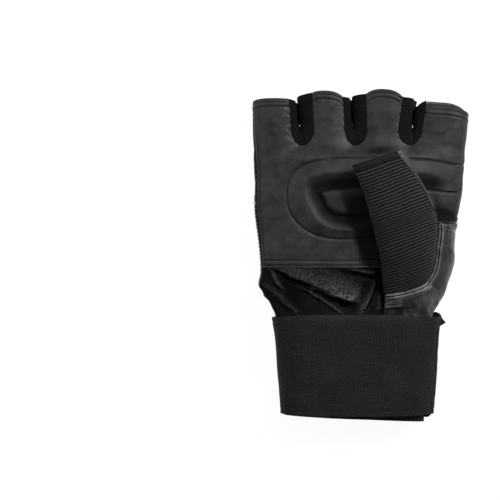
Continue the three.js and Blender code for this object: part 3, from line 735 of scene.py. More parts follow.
def bumped(tree, shader, height, depth):
    """depth: what a height of 1 stands for, in millimetres."""
    normal = node(tree, "ShaderNodeBump", Distance=depth * MM, Height=height)
    tree.links.new(normal, shader.inputs["Normal"])


def texture(tree, place, size, detail=2.0, rough=0.5, twist=0.0):
    return node(
        tree, "ShaderNodeTexNoise", Vector=place, Scale=1 / size, Detail=detail, Roughness=rough,
        Distortion=twist,
    )


def wear_and_soot(tree):
    """The mesh's attribute: above 0 lighter, from rubbing at hems and from painted highlights on ridges,
    folds and crests; below 0 darker, from painted shade in folds, valleys, slots and grooves and from dark
    seam lines.
    """
    given = tree.nodes.new("ShaderNodeAttribute")
    given.attribute_name = "wear"
    value = given.outputs["Fac"]
    dark = math_node(tree, "MULTIPLY", value, -1.0)
    return math_node(tree, "MAXIMUM", value), math_node(tree, "MAXIMUM", dark)


def leather(
    name, dark, light, roughness, grain, depth,
    gloss=0.0, wrinkle=0.25, patchy=(0.0, 0.95), shine=0.4, scuffs_and_highlights=(0.15, 0.8),
):
    """Grained leather. grain: size of its pebbles, and depth: their height, in millimetres. dark,
    light: the colours that it wanders between, patchy: how far, and scuffs: how far, in speckles,
    where it is rubbed and where a highlight is painted. Painted shade takes it towards black."""
    made, tree, shader = start_material(
        name, Coat_Weight=gloss, Coat_Roughness=0.22, Specular_IOR_Level=shine
    )
    place = millimetres(tree)
    patches = texture(tree, place, 7.0, 3.0, 0.6)
    worn_and_painted_light, painted_shade_and_dark_seams = wear_and_soot(tree)
    speckle = texture(tree, place, 1.3, 4.0, 0.7)
    # Rubbing and painted highlights lighten the colour in speckles.
    worn_and_painted_light = math_node(tree, "MULTIPLY", worn_and_painted_light, remap(tree, speckle, 0.35, 0.65, *scuffs_and_highlights))
    shade = math_node(tree, "ADD", remap(tree, patches, 0.35, 0.68, *patchy), worn_and_painted_light)
    colour = mix(tree, shade, dark, light)
    # Painted shade and dark seam lines take the colour towards black.
    tree.links.new(mix(tree, painted_shade_and_dark_seams, colour, (0.0008, 0.0008, 0.0008)), shader.inputs["Base Color"])
    cells = node(
        tree, "ShaderNodeTexVoronoi", {"feature": "SMOOTH_F1"}, Vector=place, Scale=1 / grain, Smoothness=0.35
    )
    pores = texture(tree, place, grain * 0.35, 3.0, 0.6)
    folds = texture(tree, place, grain * 7, 3.0, 0.6, 1.2)
    pebbles = math_node(tree, "MULTIPLY_ADD", cells, -1.0, 1.0)
    height = math_node(tree, "MULTIPLY_ADD", pores, 0.35, pebbles)
    height = math_node(tree, "MULTIPLY_ADD", folds, wrinkle / depth * 0.5, height)
    bumped(tree, shader, height, depth)
    matt = math_node(tree, "ADD", remap(tree, patches, 0.3, 0.7, -0.06, 0.06), roughness)
    matt = math_node(tree, "MULTIPLY_ADD", cells, 0.12, matt)
    # Rougher where shade is painted, so that highlights fade there.
    matt = math_node(tree, "MULTIPLY_ADD", painted_shade_and_dark_seams, 0.35, matt)
    tree.links.new(matt, shader.inputs["Roughness"])
    return made


def uv_parts(tree):
    uv = node(tree, "ShaderNodeUVMap", {"uv_map": "Millimetres"})
    parts = tree.nodes.new("ShaderNodeSeparateXYZ")
    tree.links.new(uv, parts.inputs[0])
    return parts.outputs[0], parts.outputs[1]


def stripes(tree, u, v, pitch, slant=0.0):
    """A wave from 0 to 1 across lines that are pitch apart and rise by slant."""
    place = math_node(tree, "MULTIPLY_ADD", v, slant, u)
    turn = math_node(tree, "MULTIPLY", place, 2 * math.pi / pitch)
    return math_node(tree, "MULTIPLY_ADD", math_node(tree, "SINE", turn), 0.5, 0.5)


def cloth(name, dark, light, roughness, pattern, depth, sheen=0.25):
    """Cloth whose yarns come from pattern(tree, u, v), 0 in the gaps and 1 on top."""
    made, tree, shader = start_material(
        name, Roughness=roughness, Sheen_Weight=sheen, Sheen_Roughness=0.45, Specular_IOR_Level=0.25
    )
    place = millimetres(tree)
    yarn = pattern(tree, *uv_parts(tree))
    fluff = texture(tree, place, 0.45, 4.0, 0.7)
    patches = texture(tree, place, 14.0, 2.0, 0.5)
    shade = math_node(tree, "MULTIPLY", yarn, remap(tree, fluff, 0.3, 0.7, 0.5, 1.1))
    shade = math_node(tree, "MULTIPLY", shade, remap(tree, patches, 0.3, 0.7, 0.75, 1.1))
    worn_and_painted_light, painted_shade_and_dark_seams = wear_and_soot(tree)
    # Rubbing and painted highlights lighten the colour.
    colour = mix(tree, math_node(tree, "ADD", shade, worn_and_painted_light), dark, light)
    # Painted shade and dark seam lines take the colour towards black.
    tree.links.new(mix(tree, painted_shade_and_dark_seams, colour, (0.0005, 0.0005, 0.0005)), shader.inputs["Base Color"])
    height = math_node(tree, "MULTIPLY_ADD", fluff, 0.35, yarn)
    bumped(tree, shader, height, depth)
    return made


# The elastic's weave: its diagonal lines, which fall to the right, and the floats that cross them
TWILL_LINES = dict(pitch=1.95, slant=-1.42)
TWILL_FLOATS = dict(pitch=1.9, slant=1.1)


def twill(tree, u, v):
    lines = stripes(tree, u, v, **TWILL_LINES)
    lines = math_node(tree, "MULTIPLY", lines, lines)
    floats = stripes(tree, u, v, **TWILL_FLOATS)
    return math_node(tree, "MULTIPLY", lines, math_node(tree, "MULTIPLY_ADD", floats, 0.6, 0.5))


def knit(tree, u, v):
    wales = stripes(tree, u, v, 0.75)
    courses = stripes(tree, v, u, 0.5, 0.25)
    return math_node(tree, "MULTIPLY_ADD", wales, 0.6, math_node(tree, "MULTIPLY", courses, 0.4))


def holes(tree, u, v):
    one = stripes(tree, u, v, 1.25)
    two = stripes(tree, v, u, 1.1)
    return math_node(tree, "MAXIMUM", one, two)


def hooks(tree, u, v):
    return math_node(tree, "MULTIPLY", stripes(tree, u, v, 1.1), stripes(tree, v, u, 1.3))


PALM_LEATHER = leather("palm leather", (0.0125, 0.0122, 0.0145), (0.034, 0.033, 0.039), 0.47, 0.5, 0.03)
# Black heel leather: its light colour shows where the folds' highlight is painted.
HEEL_LEATHER = leather(
    "heel leather", (0.0006, 0.0006, 0.0007), (0.120, 0.117, 0.130), 0.34, 0.9, 0.16,
    gloss=0.02, wrinkle=0.35, patchy=(0.0, 0.02), shine=0.06, scuffs_and_highlights=(-0.15, 1.2),
)
BACK_LEATHER = leather(
    "back leather", (0.010, 0.010, 0.0115), (0.062, 0.060, 0.068), 0.38, 0.9, 0.10,
    gloss=0.12, wrinkle=0.4, patchy=(0.0, 0.4),
)
WELT_LEATHER = leather("welt leather", (0.030, 0.030, 0.034), (0.200, 0.196, 0.215), 0.40, 0.7, 0.06)
LINING = cloth("lining", (0.004, 0.004, 0.004), (0.014, 0.014, 0.015), 0.9, knit, 0.12)
MESH = cloth("mesh", (0.0004, 0.0004, 0.0004), (0.0040, 0.0040, 0.0046), 0.9, holes, 0.30, sheen=0.0)
RIBBED = cloth("ribbed cloth", (0.0018, 0.0018, 0.0022), (0.042, 0.041, 0.046), 0.75, knit, 0.12, sheen=0.03)
ELASTIC = cloth("elastic", (0.0018, 0.0018, 0.0021), (0.057, 0.056, 0.063), 0.85, twill, 0.35, sheen=0.05)
BINDING = cloth("binding", (0.002, 0.002, 0.002), (0.012, 0.012, 0.013), 0.8, knit, 0.14, sheen=0.1)
HOOKS = cloth("hook tape", (0.001, 0.001, 0.001), (0.012, 0.012, 0.012), 0.6, hooks, 0.35, sheen=0.0)
THREADS = cloth("thread", (0.006, 0.006, 0.007), (0.032, 0.032, 0.036), 0.5, knit, 0.05, sheen=0.05)


# The padded C: where a place lies on its band, from -1 at the outside to 1 at the tongue.
PAD_ALONG = np.linspace(0, 1, 260)
PAD_LINE = np.stack([
    follow(PAD, "x", PAD_ALONG) * HAND_WIDTH,
    follow(PAD, "y", PAD_ALONG) * PALM_LENGTH,
], -1)
PAD_HALF = follow(PAD, "half", PAD_ALONG) * PALM_LENGTH


def pad_place(x, y):
    """Millimetres beyond the outer contour and inside the inner one, both positive on the band."""
    flat = np.stack([x.reshape(-1), y.reshape(-1)], -1)
    away = flat[:, None] - PAD_LINE[None]
    near = (away**2).sum(-1).argmin(1)
    direction = unit(np.gradient(PAD_LINE, axis=0))[near]
    to = away[np.arange(len(flat)), near]
    side = direction[:, 0] * to[:, 1] - direction[:, 1] * to[:, 0]
    beyond = (near == 0) & (flat[:, 0] > PAD_LINE[0, 0])
    side = np.where(beyond, PAD_LINE[0, 1] - flat[:, 1], side)
    half = PAD_HALF[near]
    return (side + half).reshape(x.shape), (half - side).reshape(x.shape)


def edge_distance(columns, y):
    """Millimetres to the nearest gusset edge, for puckers."""
    across = np.minimum(columns.t, 1 - columns.t) * FINGER_WIDTH
    first = (columns.finger == 0) & (columns.t < 0.5)
    last = (columns.finger == len(FINGERS) - 1) & (columns.t > 0.5)
    across = np.where(first | last, 99, across)
    return np.broadcast_to(across, y.shape) + 60 * smoothstep(CROTCH + 2, CROTCH - 4, y)


def hem_grooves(below, places=(FOLD, HEM), deep=0.32):
    """Thin lines that the sewing presses into a hem, and the swelling between them."""
    relief = sum(-deep * bump(below - place, 0.42) for place in places)
    middle = sum(places) / 2
    return relief + 0.18 * bump(below - middle, 1.1) + 0.1 * smoothstep(places[-1] + 0.6, places[0], below)


def dents(x, y, column):
    """The sum of all dents, each as strong as its own value in one column of the table."""
    total = 0
    for dent in DENTS:
        turn = math.radians(dent["turn"])
        right = (x - dent["x"]) * math.cos(turn) + (y - dent["y"]) * math.sin(turn)
        up = (y - dent["y"]) * math.cos(turn) - (x - dent["x"]) * math.sin(turn)
        total = total + dent[column] * np.exp(-((right / dent["wide"]) ** 2) - (up / dent["tall"]) ** 2)
    return total


def thumb_side(side, along):
    x = follow(THUMB, side + "X", along) * HAND_WIDTH
    return vector(x, follow(THUMB, side + "Y", along) * PALM_LENGTH, 0)


def thumb_fold(x, y):
    """How deep the leather dives beside the thumb, from 0 to 1."""
    along = np.linspace(0.06, 1, 120)
    edge = thumb_side("left", along)
    near = np.interp(y, edge[:, 1], along)
    left = np.interp(y, edge[:, 1], edge[:, 0]) - x + 1.2 * noise(x, y, 9, 5)
    reach = smoothstep(0.86, 0.64, near) * smoothstep(0.05, 0.16, near)
    return reach * smoothstep(15.5, 5.0, left) * smoothstep(-16, -8, left)


def valley_depth(x):
    """1 where the valley inside the padded C is deep, 0 near the index side, where it has run out."""
    return smoothstep(51, 41, x)


def palm_relief(points, columns, side="front"):
    x, y = points[..., 0], points[..., 1]
    from_end = columns.ends(side) - y
    from_hem = y - palm_hem(columns)
    outside, inside = pad_place(x, y)
    relief = hem_grooves(from_end) + hem_grooves(from_hem, PALM_HEM_LINES, 0.4)
    before_edge = smoothstep(60.5, 56.5, x)
    band = smoothstep(-0.2, 0.5, outside) * smoothstep(-0.9, 0.1, inside) * before_edge
    relief = relief - lerp(1.0, lerp(1.35, 2.7, valley_depth(x)), smoothstep(8, 1.5, inside)) * band
    relief = relief - lerp(0.3, 0.75, before_edge) * bump(outside, 0.6) * (outside < 0.6)
    tongue = smoothstep(-0.1, -2.4, inside) * smoothstep(-30, -20, inside) * before_edge
    relief = relief + lerp(0.35, 0.9, valley_depth(x)) * tongue
    relief = relief - dents(x, y, "deep") - THUMB_FOLD * thumb_fold(x, y)
    near = edge_distance(columns, y)
    pucker = np.sin(2 * math.pi * (y / 3.3 + noise(x, y, 6, 3)))
    relief = relief + 0.22 * pucker * bump(near, 2.4)
    relief = relief + 0.42 * noise(x, y, 12, 1) + 0.12 * noise(x, y * 1.6, 4.5, 2)
    return relief


# Rows of a stall's grid in the hem at its open end
HEM_ROWS = 21


def stall_rows(low, end):
    below = rows_between(low, np.full(len(low), CROTCH), 64, (8, 34))
    above = rows_between(np.full(len(low), CROTCH), end, 24, (0, 0), (7, 30))
    return np.concatenate([below[:-1], above]), len(below) - 1


def stall_wall(name, points, normals, relief, below, wear):
    """A wall across all fingers, which is open between them above its first rows."""
    there = np.ones((len(relief) - 1, COLUMNS.count - 1), bool)
    there[below:] &= ~COLUMNS.between
    return skin_wall(
        name, points, normals, LEATHER, relief, there=there, wear=wear, turned=HEM_ROWS
    )


def little_side(place, width):
    """1 on a line that runs along the seam at the little finger's side."""
    return bump(FINGER_WIDTH * COLUMNS.t - place, width) * (COLUMNS.finger == 0)


def make_palm():
    y, below = stall_rows(palm_hem(COLUMNS), COLUMNS.ends("front"))
    points, normals = COLUMNS.skin(y, True)
    relief = palm_relief(points, COLUMNS)
    x = points[..., 0]
    inside = pad_place(x, y)[1]
    # Painted shade: darker in the valley at the tongue's edge, in the dents and in the fold beside the thumb.
    soot = smoothstep(-2.2, -0.4, inside) * smoothstep(2, 0.5, inside) * smoothstep(60, 57, x)
    soot = soot + dents(x, y, "soot") + FOLD_PAINTED_SHADE * thumb_fold(x, y)
    wear = 0.6 * bump(COLUMNS.ends("front") - y, 1.2) + 0.6 * bump(y - palm_hem(COLUMNS), 1.5) - soot
    # Along the little finger's side: a lighter line, painted shade at the edge where the side turns under,
    # and a dark seam line.
    wear = wear + little_side(3.0, 0.9) - 1.6 * little_side(0.5, 1.7)
    wear = wear - 0.9 * little_side(4.6, 0.7)
    piece = stall_wall("palm", points, normals, relief, below, wear)
    return finish(piece, ["palm_panel"], "palm_leather", PALM_LEATHER, LINING, rim=0.3)


def palm_stitches():
    rows = skin_stitches(COLUMNS, COLUMNS.ends("front") - HEM, True, palm_relief, **SMALL_STITCHES)
    for away in PALM_HEM_LINES:
        rows += skin_stitches(COLUMNS, palm_hem(COLUMNS) + away, True, palm_relief, across=True)
    y = np.arange(palm_hem(COLUMNS)[0] + 3, COLUMNS.ends("front")[0] - 2, 0.7)
    points, normals = skin_point(0, np.full(len(y), 0.035), y, True)
    rows.append(stitch_row(raised(points, normals, 0.05), normals))
    return thread_piece("palm_stitches", rows, THREADS)


def make_pad():
    """The band of the C. Its upper arm runs on round the index side, its lower one under the thumb."""
    upper, lower = 0.035, 0.05
    along = np.linspace(-upper, 1 + lower, 200)
    across = np.sin(np.linspace(-1, 1, 57) * math.pi / 2)
    x = follow(PAD, "x", along) * HAND_WIDTH
    y = follow(PAD, "y", along) * PALM_LENGTH
    x = x + 5.2 * np.clip(-along / upper, 0, 1) + 10 * np.clip((along - 1) / lower, 0, 1)
    middle = np.stack([x, y], -1)
    direction = unit(np.gradient(middle, axis=0))
    side = np.stack([-direction[:, 1], direction[:, 0]], -1)
    half = follow(PAD, "half", along) * PALM_LENGTH
    flat = middle[:, None] + side[:, None] * (across * half[:, None])[..., None]
    oval = hand_oval(flat[..., 1])
    points, normals = hand_point(angle_at(oval, flat[..., 0]), flat[..., 1])
    x, y = points[..., 0], points[..., 1]
    ends = (smoothstep(-upper, 0.015, along) * smoothstep(1 + lower, 1, along))[:, None]
    inside = (1 - across[None]) * half[:, None]
    crest = PAD_HEIGHT * lerp(0.22, 0.72, smoothstep(50, 14, x))
    swell = crest * smoothstep(-1.1, -0.05, across)[None] ** 0.8
    deep = valley_depth(x)
    slope = smoothstep(lerp(7.5, 9.5, deep), lerp(0.2, 1.2, deep), inside)
    valley = lerp(crest * 0.9, crest + 2.0, deep) * slope
    lip = lerp(-0.55, 0.15, smoothstep(-1, -0.88, across))[None]
    sag = 0.16 * noise(x, y, 10, 7) + 0.07 * noise(x, y, 4, 8)
    height = lip + (swell - valley) * ends + sag * smoothstep(-1, -0.5, across)[None]
    height = lerp(-0.75, height, lerp(0.4, 1, ends))
    fold = thumb_fold(x, y)
    under = lerp(-0.95, lerp(-1.3, -2.55, deep), smoothstep(8, 1.5, inside) * ends)
    # Painted shade: darker in the valley at the tongue's edge, in the fold beside the thumb and in the dents.
    soot = smoothstep(9.5, 3.0, inside) * ends * deep + FOLD_PAINTED_SHADE * fold + dents(x, y, "soot")
    outer = raised(points, normals, height - THUMB_FOLD * fold)
    inner = raised(points, normals, np.minimum(under, height - 0.15) - THUMB_FOLD * fold)
    piece = wall("palm_cushion", outer, inner, wear=-soot)
    return finish(piece, ["palm_pad"], "palm_leather", PALM_LEATHER)


def heel_folds(points):
    """How far the folds rise in millimetres, and the highlight painted on their upper sides."""
    x, y = points[..., 0], points[..., 1]
    rise, shine = np.zeros(x.shape), np.zeros(x.shape)
    wavy = np.stack([x + noise(x, y, 7, 21), y + noise(x, y, 6, 22)], -1)
    for fold in HEEL_FOLDS:
        start = np.array([fold["x0"] * HAND_WIDTH, fold["y0"] * PALM_LENGTH])
        line = np.array([fold["x1"] * HAND_WIDTH, fold["y1"] * PALM_LENGTH]) - start
        to = wavy - start
        share = (to @ line) / (line @ line)
        above = (line[0] * to[..., 1] - line[1] * to[..., 0]) / np.linalg.norm(line) * np.sign(line[0])
        width = np.where(above > 0, fold["wide"], fold["steep"]) * PALM_HEIGHT
        past = np.linalg.norm(line) * np.maximum(0, np.maximum(-share, share - 1)) / (0.12 * PALM_HEIGHT)
        near = np.exp(-((above / width) ** 2) - past**2)
        valley = np.exp(-(((above + 1.9 * width) / width) ** 2) - past**2) * (above < 0)
        rise = rise + fold["high"] * PALM_HEIGHT * (near - 0.5 * valley)
        # The painted highlight grows stronger along each fold.
        highlight_gain = lerp(0.6, 1.25, np.clip(share, 0, 1))
        shine = np.maximum(shine, fold["shine"] * highlight_gain * near * (above > -0.3))
    slanting = x * 0.55 + y * 0.83
    small = creases(slanting, (x - y) * 0.22, 8.5, 31)
    rise = rise + 0.45 * (small - 0.6) + 0.15 * (creases(slanting, (x - y) * 0.4, 3.2, 33) - 0.6)
    return rise, shine * (0.6 + 0.6 * small)


# Half width of the slot between the heel leather and the thumb's base, which is sunk and darkened with
# painted shade
HEEL_SLOT = 2.6


def make_heel():
    low = np.full(HEEL_COLUMNS.count, -TUCK, float)
    top = np.full(HEEL_COLUMNS.count, palm_hem(HEEL_COLUMNS)[0] - GAP)
    y = rows_between(low, top, 130)
    points, normals = HEEL_COLUMNS.skin(y, True)
    rise, shine = heel_folds(points)
    share = y / PALM_LENGTH
    rise = rise * smoothstep(0, 0.04, share) * smoothstep(0.278, 0.25, share)
    to_thumb = points[:, -1:, 0] - points[..., 0]
    slot = bump(to_thumb, HEEL_SLOT)
    rise = rise - 1.3 * slot * smoothstep(0, 0.04, share)
    # Painted highlight on the folds; painted shade in the slot and beside the thumb's base.
    wear = shine - 0.9 * slot - 0.5 * bump(to_thumb, 6)
    piece = skin_wall("heel", points, normals, LEATHER, rise, wear=wear)
    return finish(piece, ["heel_panel"], "heel_leather", HEEL_LEATHER, LINING, rim=0.2)


def grid_normals(points):
    along, across = np.gradient(points, axis=0), np.gradient(points, axis=1)
    return unit(np.cross(along, across))


# Half the gap between the two lobes of a sidewall where they touch
TOUCHING = 0.08
LOBE_CORNER = 1.8
LOBE_SWING = 1.8


def tucked(edge, normals, middle):
    """Two outer and two inner columns that carry a sidewall's edge on under the leather."""
    away = edge - middle
    away[:, 2] = 0
    away = unit(away)
    under = edge + away * SEAM_ALLOWANCE - normals * (LEATHER + 0.45)
    turn = edge - away * GAP - normals * (LEATHER - 0.1)
    outer = np.stack([under, turn], 1)
    inner = np.stack([under - normals * 0.25, turn - away * 0.3 - normals * 0.35], 1)
    return outer, inner


def make_gusset(index):
    gusset = GUSSETS[index]
    shares = np.r_[np.linspace(0, 0.12, 9), np.linspace(0.12, 1, 26)[1:]]
    side = np.r_[-np.ones(len(shares)), np.ones(len(shares))]
    share = np.r_[shares[::-1], shares]
    faces, normals = {}, {}
    for face in ("front", "back"):
        parts = []
        for sign, finger, t in ((-1, index, 1), (1, index + 1, 0)):
            row = FINGERS[finger][face]
            end = CROTCH + FINGER_LENGTH * row[2 if t else 0]
            s = shares[::-1] if sign < 0 else shares
            parts.append(skin_point(finger, np.full(len(s), float(t)), lerp(CROTCH, end, s), face == "front"))
        faces[face] = np.concatenate([part[0] for part in parts])
        normals[face] = np.concatenate([part[1] for part in parts])
    notch = np.where(side < 0, gusset["notches"][0], gusset["notches"][1])
    y = CROTCH + FINGER_LENGTH * lerp(gusset["web"], notch, share)
    apart = side * lerp(GAP * 0.8, TOUCHING, smoothstep(0, 0.14, share))
    middle = vector(gusset_middle(index, y) + apart, y, FINGER_HEIGHT * FINGER_MIDDLE)
    phases = np.linspace(0, 180, 31)
    points = np.zeros((len(share), len(phases), 3))
    for j, phase in enumerate(phases):
        start_point = faces["front" if phase <= 90 else "back"]
        start = GAP * 1.3 / np.linalg.norm(middle - start_point, axis=1)
        turn = lerp(start, math.pi / 2, (90 - abs(90 - phase)) / 90)
        near = np.sin(turn)[:, None]
        points[:, j] = lerp(start_point, middle, near)
        points[:, j, 2] = lerp(middle[:, 2], start_point[:, 2], np.cos(turn))
        points[:, j, 1] -= LOBE_CORNER * near[:, 0] ** 12 * smoothstep(0.6, 1, share)
        swing = math.sin(math.radians(2 * (phase - 90))) * smoothstep(0, 0.3, share) * near[:, 0] ** 6
        points[:, j, 0] += LOBE_SWING * swing
    out = grid_normals(points)
    near_front = smoothstep(50, 0, phases)[None, :, None]
    near_back = smoothstep(130, 180, phases)[None, :, None]
    inwards = lerp(lerp(out, normals["front"][:, None], near_front), normals["back"][:, None], near_back)
    steps = np.arange(len(share))[:, None]
    ladder = np.sin(steps * 1.9) * bump(90 - np.abs(90 - phases), 26)[None]
    soft = 0.16 * ladder + 0.25 * noise(points[..., 1], points[..., 2], 5, 40 + index)
    outer = points + out * (soft * bump(phases - 90, 75)[None])[..., None]
    inner = points - unit(inwards) * MESH_CLOTH
    front_tuck, back_tuck = (tucked(faces[face], normals[face], middle) for face in ("front", "back"))
    outer = placed(np.concatenate([front_tuck[0], outer, back_tuck[0][:, ::-1]], 1))
    inner = placed(np.concatenate([front_tuck[1], inner, back_tuck[1][:, ::-1]], 1))
    piece = wall(f"gusset_{index + 1}_mesh", outer, inner)
    return finish(piece, [f"gusset_{index + 1}"], "mesh_cloth", MESH, rim=0.2)


def knuckle_relief(points, columns):
    x, y = points[..., 0], points[..., 1]
    from_end = columns.ends("back") - y
    from_seam = y - knuckle_seam(columns)
    relief = hem_grooves(from_end, (1.2, KNUCKLE_HEM_LINE), 0.3)
    relief = relief + 0.45 * smoothstep(4.6, 3.9, from_seam)
    for line in KNUCKLE_SEAM_LINES:
        relief = relief - 0.4 * bump(from_seam - line, 0.4)
    relief = relief + 0.3 * (creases(x * 0.45, y, 3.6, 61) - 0.5) * bump(y - CROTCH + 3, 7)
    relief = relief + 0.3 * (creases(x, y * 0.35, 4.2, 63) - 0.5) * smoothstep(CROTCH + 3, CROTCH - 8, y)
    pucker = np.sin(2 * math.pi * (y / 3.0 + noise(x, y, 6, 64)))
    relief = relief + 0.25 * pucker * bump(edge_distance(columns, y), 2.6)
    return relief + 0.3 * noise(x, y, 10, 62) - 0.15


def make_knuckles():
    y, below = stall_rows(knuckle_seam(COLUMNS), COLUMNS.ends("back"))
    points, normals = COLUMNS.skin(y, False)
    relief = np.minimum(knuckle_relief(points, COLUMNS), 0.35)
    wear = bump(COLUMNS.ends("back") - y, 1.2) + 0.7 * bump(y - knuckle_seam(COLUMNS) - 2, 1.6)
    wear = wear + 0.8 * bump(COLUMNS.ends("back") - y - 2, 3) * (COLUMNS.finger == 3)
    # Painted shade along the little finger's side, where it turns under.
    wear = wear - 1.3 * little_side(0.0, 4.0)
    piece = stall_wall("knuckles", points, normals, relief, below, wear)
    return finish(piece, ["knuckle_panel"], "back_leather", BACK_LEATHER, LINING, rim=0.3)


# The grooves' roundness, and the offset and strength of the painted highlight and shade on the ribs
RIB_ROUNDNESS = 2.4
RIB_PAINTED_LIGHT_OFFSET = -0.15
RIB_PAINTED_LIGHT_CONTRAST = 1.65


def rib_wave(distance, pitch):
    """Depth of the groove from 0 to 1, and the yarn's painted light: painted highlight on a crown and painted
    shade between.
    """
    turns = distance / pitch
    across = np.abs(2 * (turns - np.floor(turns)) - 1)
    tone_with_painted_light = RIB_PAINTED_LIGHT_OFFSET + RIB_PAINTED_LIGHT_CONTRAST * np.cos(2 * math.pi * (turns - 0.5))
    return 1 - np.sqrt(1 - across**RIB_ROUNDNESS), tone_with_painted_light


def make_ribs():
    y = rows_between(rib_seam(COLUMNS), knuckle_seam(COLUMNS) - GAP, 230)
    points, normals = COLUMNS.skin(y, False)
    bow = 2.2 * (points[..., 0] / (HAND_WIDTH / 2)) ** 2 + 0.25 * noise(points[..., 0], y, 9, 71)
    groove, tone_with_painted_light = rib_wave(y + bow, RIB_PITCH)
    # The ribs carry painted highlights on their crowns and painted shade in their grooves.
    piece = skin_wall("back_ribs", points, normals, RIB_CLOTH, -RIB_DEPTH * groove - 0.05, wear=tone_with_painted_light)
    return finish(piece, ["rib_panel"], "rib_cloth", RIBBED, LINING)


def lower_back_relief(points, columns):
    x, y = points[..., 0], points[..., 1]
    from_seam = rib_seam(columns) - y
    gather = smoothstep(26, 3, y) * smoothstep(-3, 3, y)
    folds = np.sin(2 * math.pi * (x / 8.5 + 0.6 * noise(x, y, 14, 81))) + 0.5 * np.sin(2 * math.pi * x / 3.7)
    relief = 0.45 * gather * (folds - 1.2)
    relief = relief + 0.7 * (creases(x * 0.8, y * 0.5, 6, 83) - 0.75) * smoothstep(2, 9, from_seam)
    for line, deep in zip(LOWER_BACK_LINES, (0.4, 0.35)):
        relief = relief - deep * bump(from_seam - line, 0.45)
    return np.minimum(relief, 0.1)


def make_lower_back():
    low = np.full(COLUMNS.count, -TUCK, float)
    y = rows_between(low, rib_seam(COLUMNS) - GAP, 70, (0, 0), (7, 26))
    points, normals = COLUMNS.skin(y, False)
    relief = lower_back_relief(points, COLUMNS)
    piece = skin_wall("lower_back", points, normals, LEATHER, relief)
    return finish(piece, ["back_panel"], "back_leather", BACK_LEATHER, LINING, rim=0.2)


def back_stitches():
    hem = COLUMNS.ends("back") - KNUCKLE_HEM_LINE
    rows = skin_stitches(COLUMNS, hem, False, knuckle_relief, **SMALL_STITCHES)
    for away in KNUCKLE_SEAM_LINES:
        rows += skin_stitches(COLUMNS, knuckle_seam(COLUMNS) + away, False, knuckle_relief, across=True)
    for away in LOWER_BACK_LINES:
        rows += skin_stitches(COLUMNS, rib_seam(COLUMNS) - away, False, lower_back_relief, across=True)
    return thread_piece("back_stitches", rows, THREADS)


# The thumb


def thumb_point(degrees, along):
    degrees, along = np.broadcast_arrays(np.asarray(degrees, float), np.asarray(along, float))
    left, right = thumb_side("left", along), thumb_side("right", along)
    half = (right - left) / 2
    length = np.linalg.norm(half, axis=-1)
    middle = THUMB_HEIGHT * follow(THUMB_RISE, "centre", along)
    point, normal = oval_point(dict(
        centre=0,
        half=length,
        bottom=0,
        middle=middle,
        top=middle + THUMB_HEIGHT * follow(THUMB_RISE, "crest", along),
        top_power=THUMB_POWER,
        bottom_power=THUMB_POWER,
    ), degrees)
    axis = unit(half)
    place = left + half + axis * point[..., :1]
    place[..., 1] -= follow(THUMB_RISE, "bow", along) * PALM_LENGTH * np.sin(np.radians(degrees))
    floor = THUMB_FLOOR - PAD_HEIGHT * (1 - smoothstep(0.3, 0.55, along))
    tilt = THUMB_HEIGHT * follow(THUMB_RISE, "tilt", along)
    place[..., 2] = floor + point[..., 2] + tilt * point[..., 0] / length
    return place, axis * normal[..., :1] + vector(0, 0, normal[..., 2])


def strip_angle(along):
    """How far the thumb's leather comes up round its right edge, in degrees. It widens to the tip."""
    start = 24 * smoothstep(THUMB_CROTCH + 0.02, THUMB_CROTCH + 0.16, along)
    return start + 26 * smoothstep(0.60, 1, along)


def make_thumb_ribs():
    along = np.linspace(0, 1, 400)
    share = np.linspace(0, 1, 52)
    end = strip_angle(along)[:, None]
    angles = lerp(180, end, share[None])
    angles[:, :2] = 180 + np.array([16, 5]) * smoothstep(0.15, THUMB_CROTCH, along)[:, None]
    points, normals = thumb_point(angles, along[:, None])
    run = np.r_[0, np.cumsum(np.linalg.norm(np.diff(points[:, 26], axis=0), axis=1))][:, None]
    to_tip = run[-1] - run
    x, y = points[..., 0], points[..., 1]
    across = np.linalg.norm(points[..., :2] - points[:, :1, :2], axis=-1)
    slant = lerp(0.17, 0.0, smoothstep(0, 0.8, along))[:, None]
    wander = 0.25 * noise(x, y, 7, 91) + 0.12 * noise(x, y, 2.5, 93)
    ribbed = lerp(0.25, 1, smoothstep(THUMB_HEM - 0.6, THUMB_HEM + 0.2, to_tip))
    groove, tone_with_painted_light = rib_wave(run - slant * across + wander, THUMB_RIB_PITCH)
    hem = 0.25 * smoothstep(THUMB_HEM + 0.2, THUMB_HEM - 0.4, to_tip) - 0.3 * bump(to_tip - THUMB_HEM, 0.4)
    crinkle = 0.14 * noise(x, y, 1.6, 94) * smoothstep(THUMB_HEM, THUMB_HEM - 1, to_tip)
    dip = 0.5 * noise(x, y, 16, 92) * smoothstep(0, 0.1, along)[:, None]
    out = hem + crinkle - RIB_DEPTH * groove * ribbed + dip - 0.2
    out[:, :2] -= np.array([LEATHER + 0.7, LEATHER]) * smoothstep(0.15, THUMB_CROTCH, along)[:, None]
    # Painted highlights on the ribs' crowns and painted shade in their grooves, with random tone, darker
    # towards the thumb's base.
    tone_with_painted_light = tone_with_painted_light + 0.35 * noise(x, y, 1.3, 96) - 0.35 * smoothstep(0.35, 0.05, along)[:, None]
    # The seam line of the hem and the hem at the tip are darker.
    wear = tone_with_painted_light * ribbed - 0.7 * bump(to_tip - THUMB_HEM, 0.45)
    wear = wear - 0.4 * smoothstep(THUMB_HEM + 0.2, THUMB_HEM - 0.4, to_tip)
    piece = skin_wall("thumb_ribs", points, normals, RIB_CLOTH, out, wear=wear)
    return finish(piece, ["thumb_rib"], "rib_cloth", RIBBED, LINING, rim=0.2)


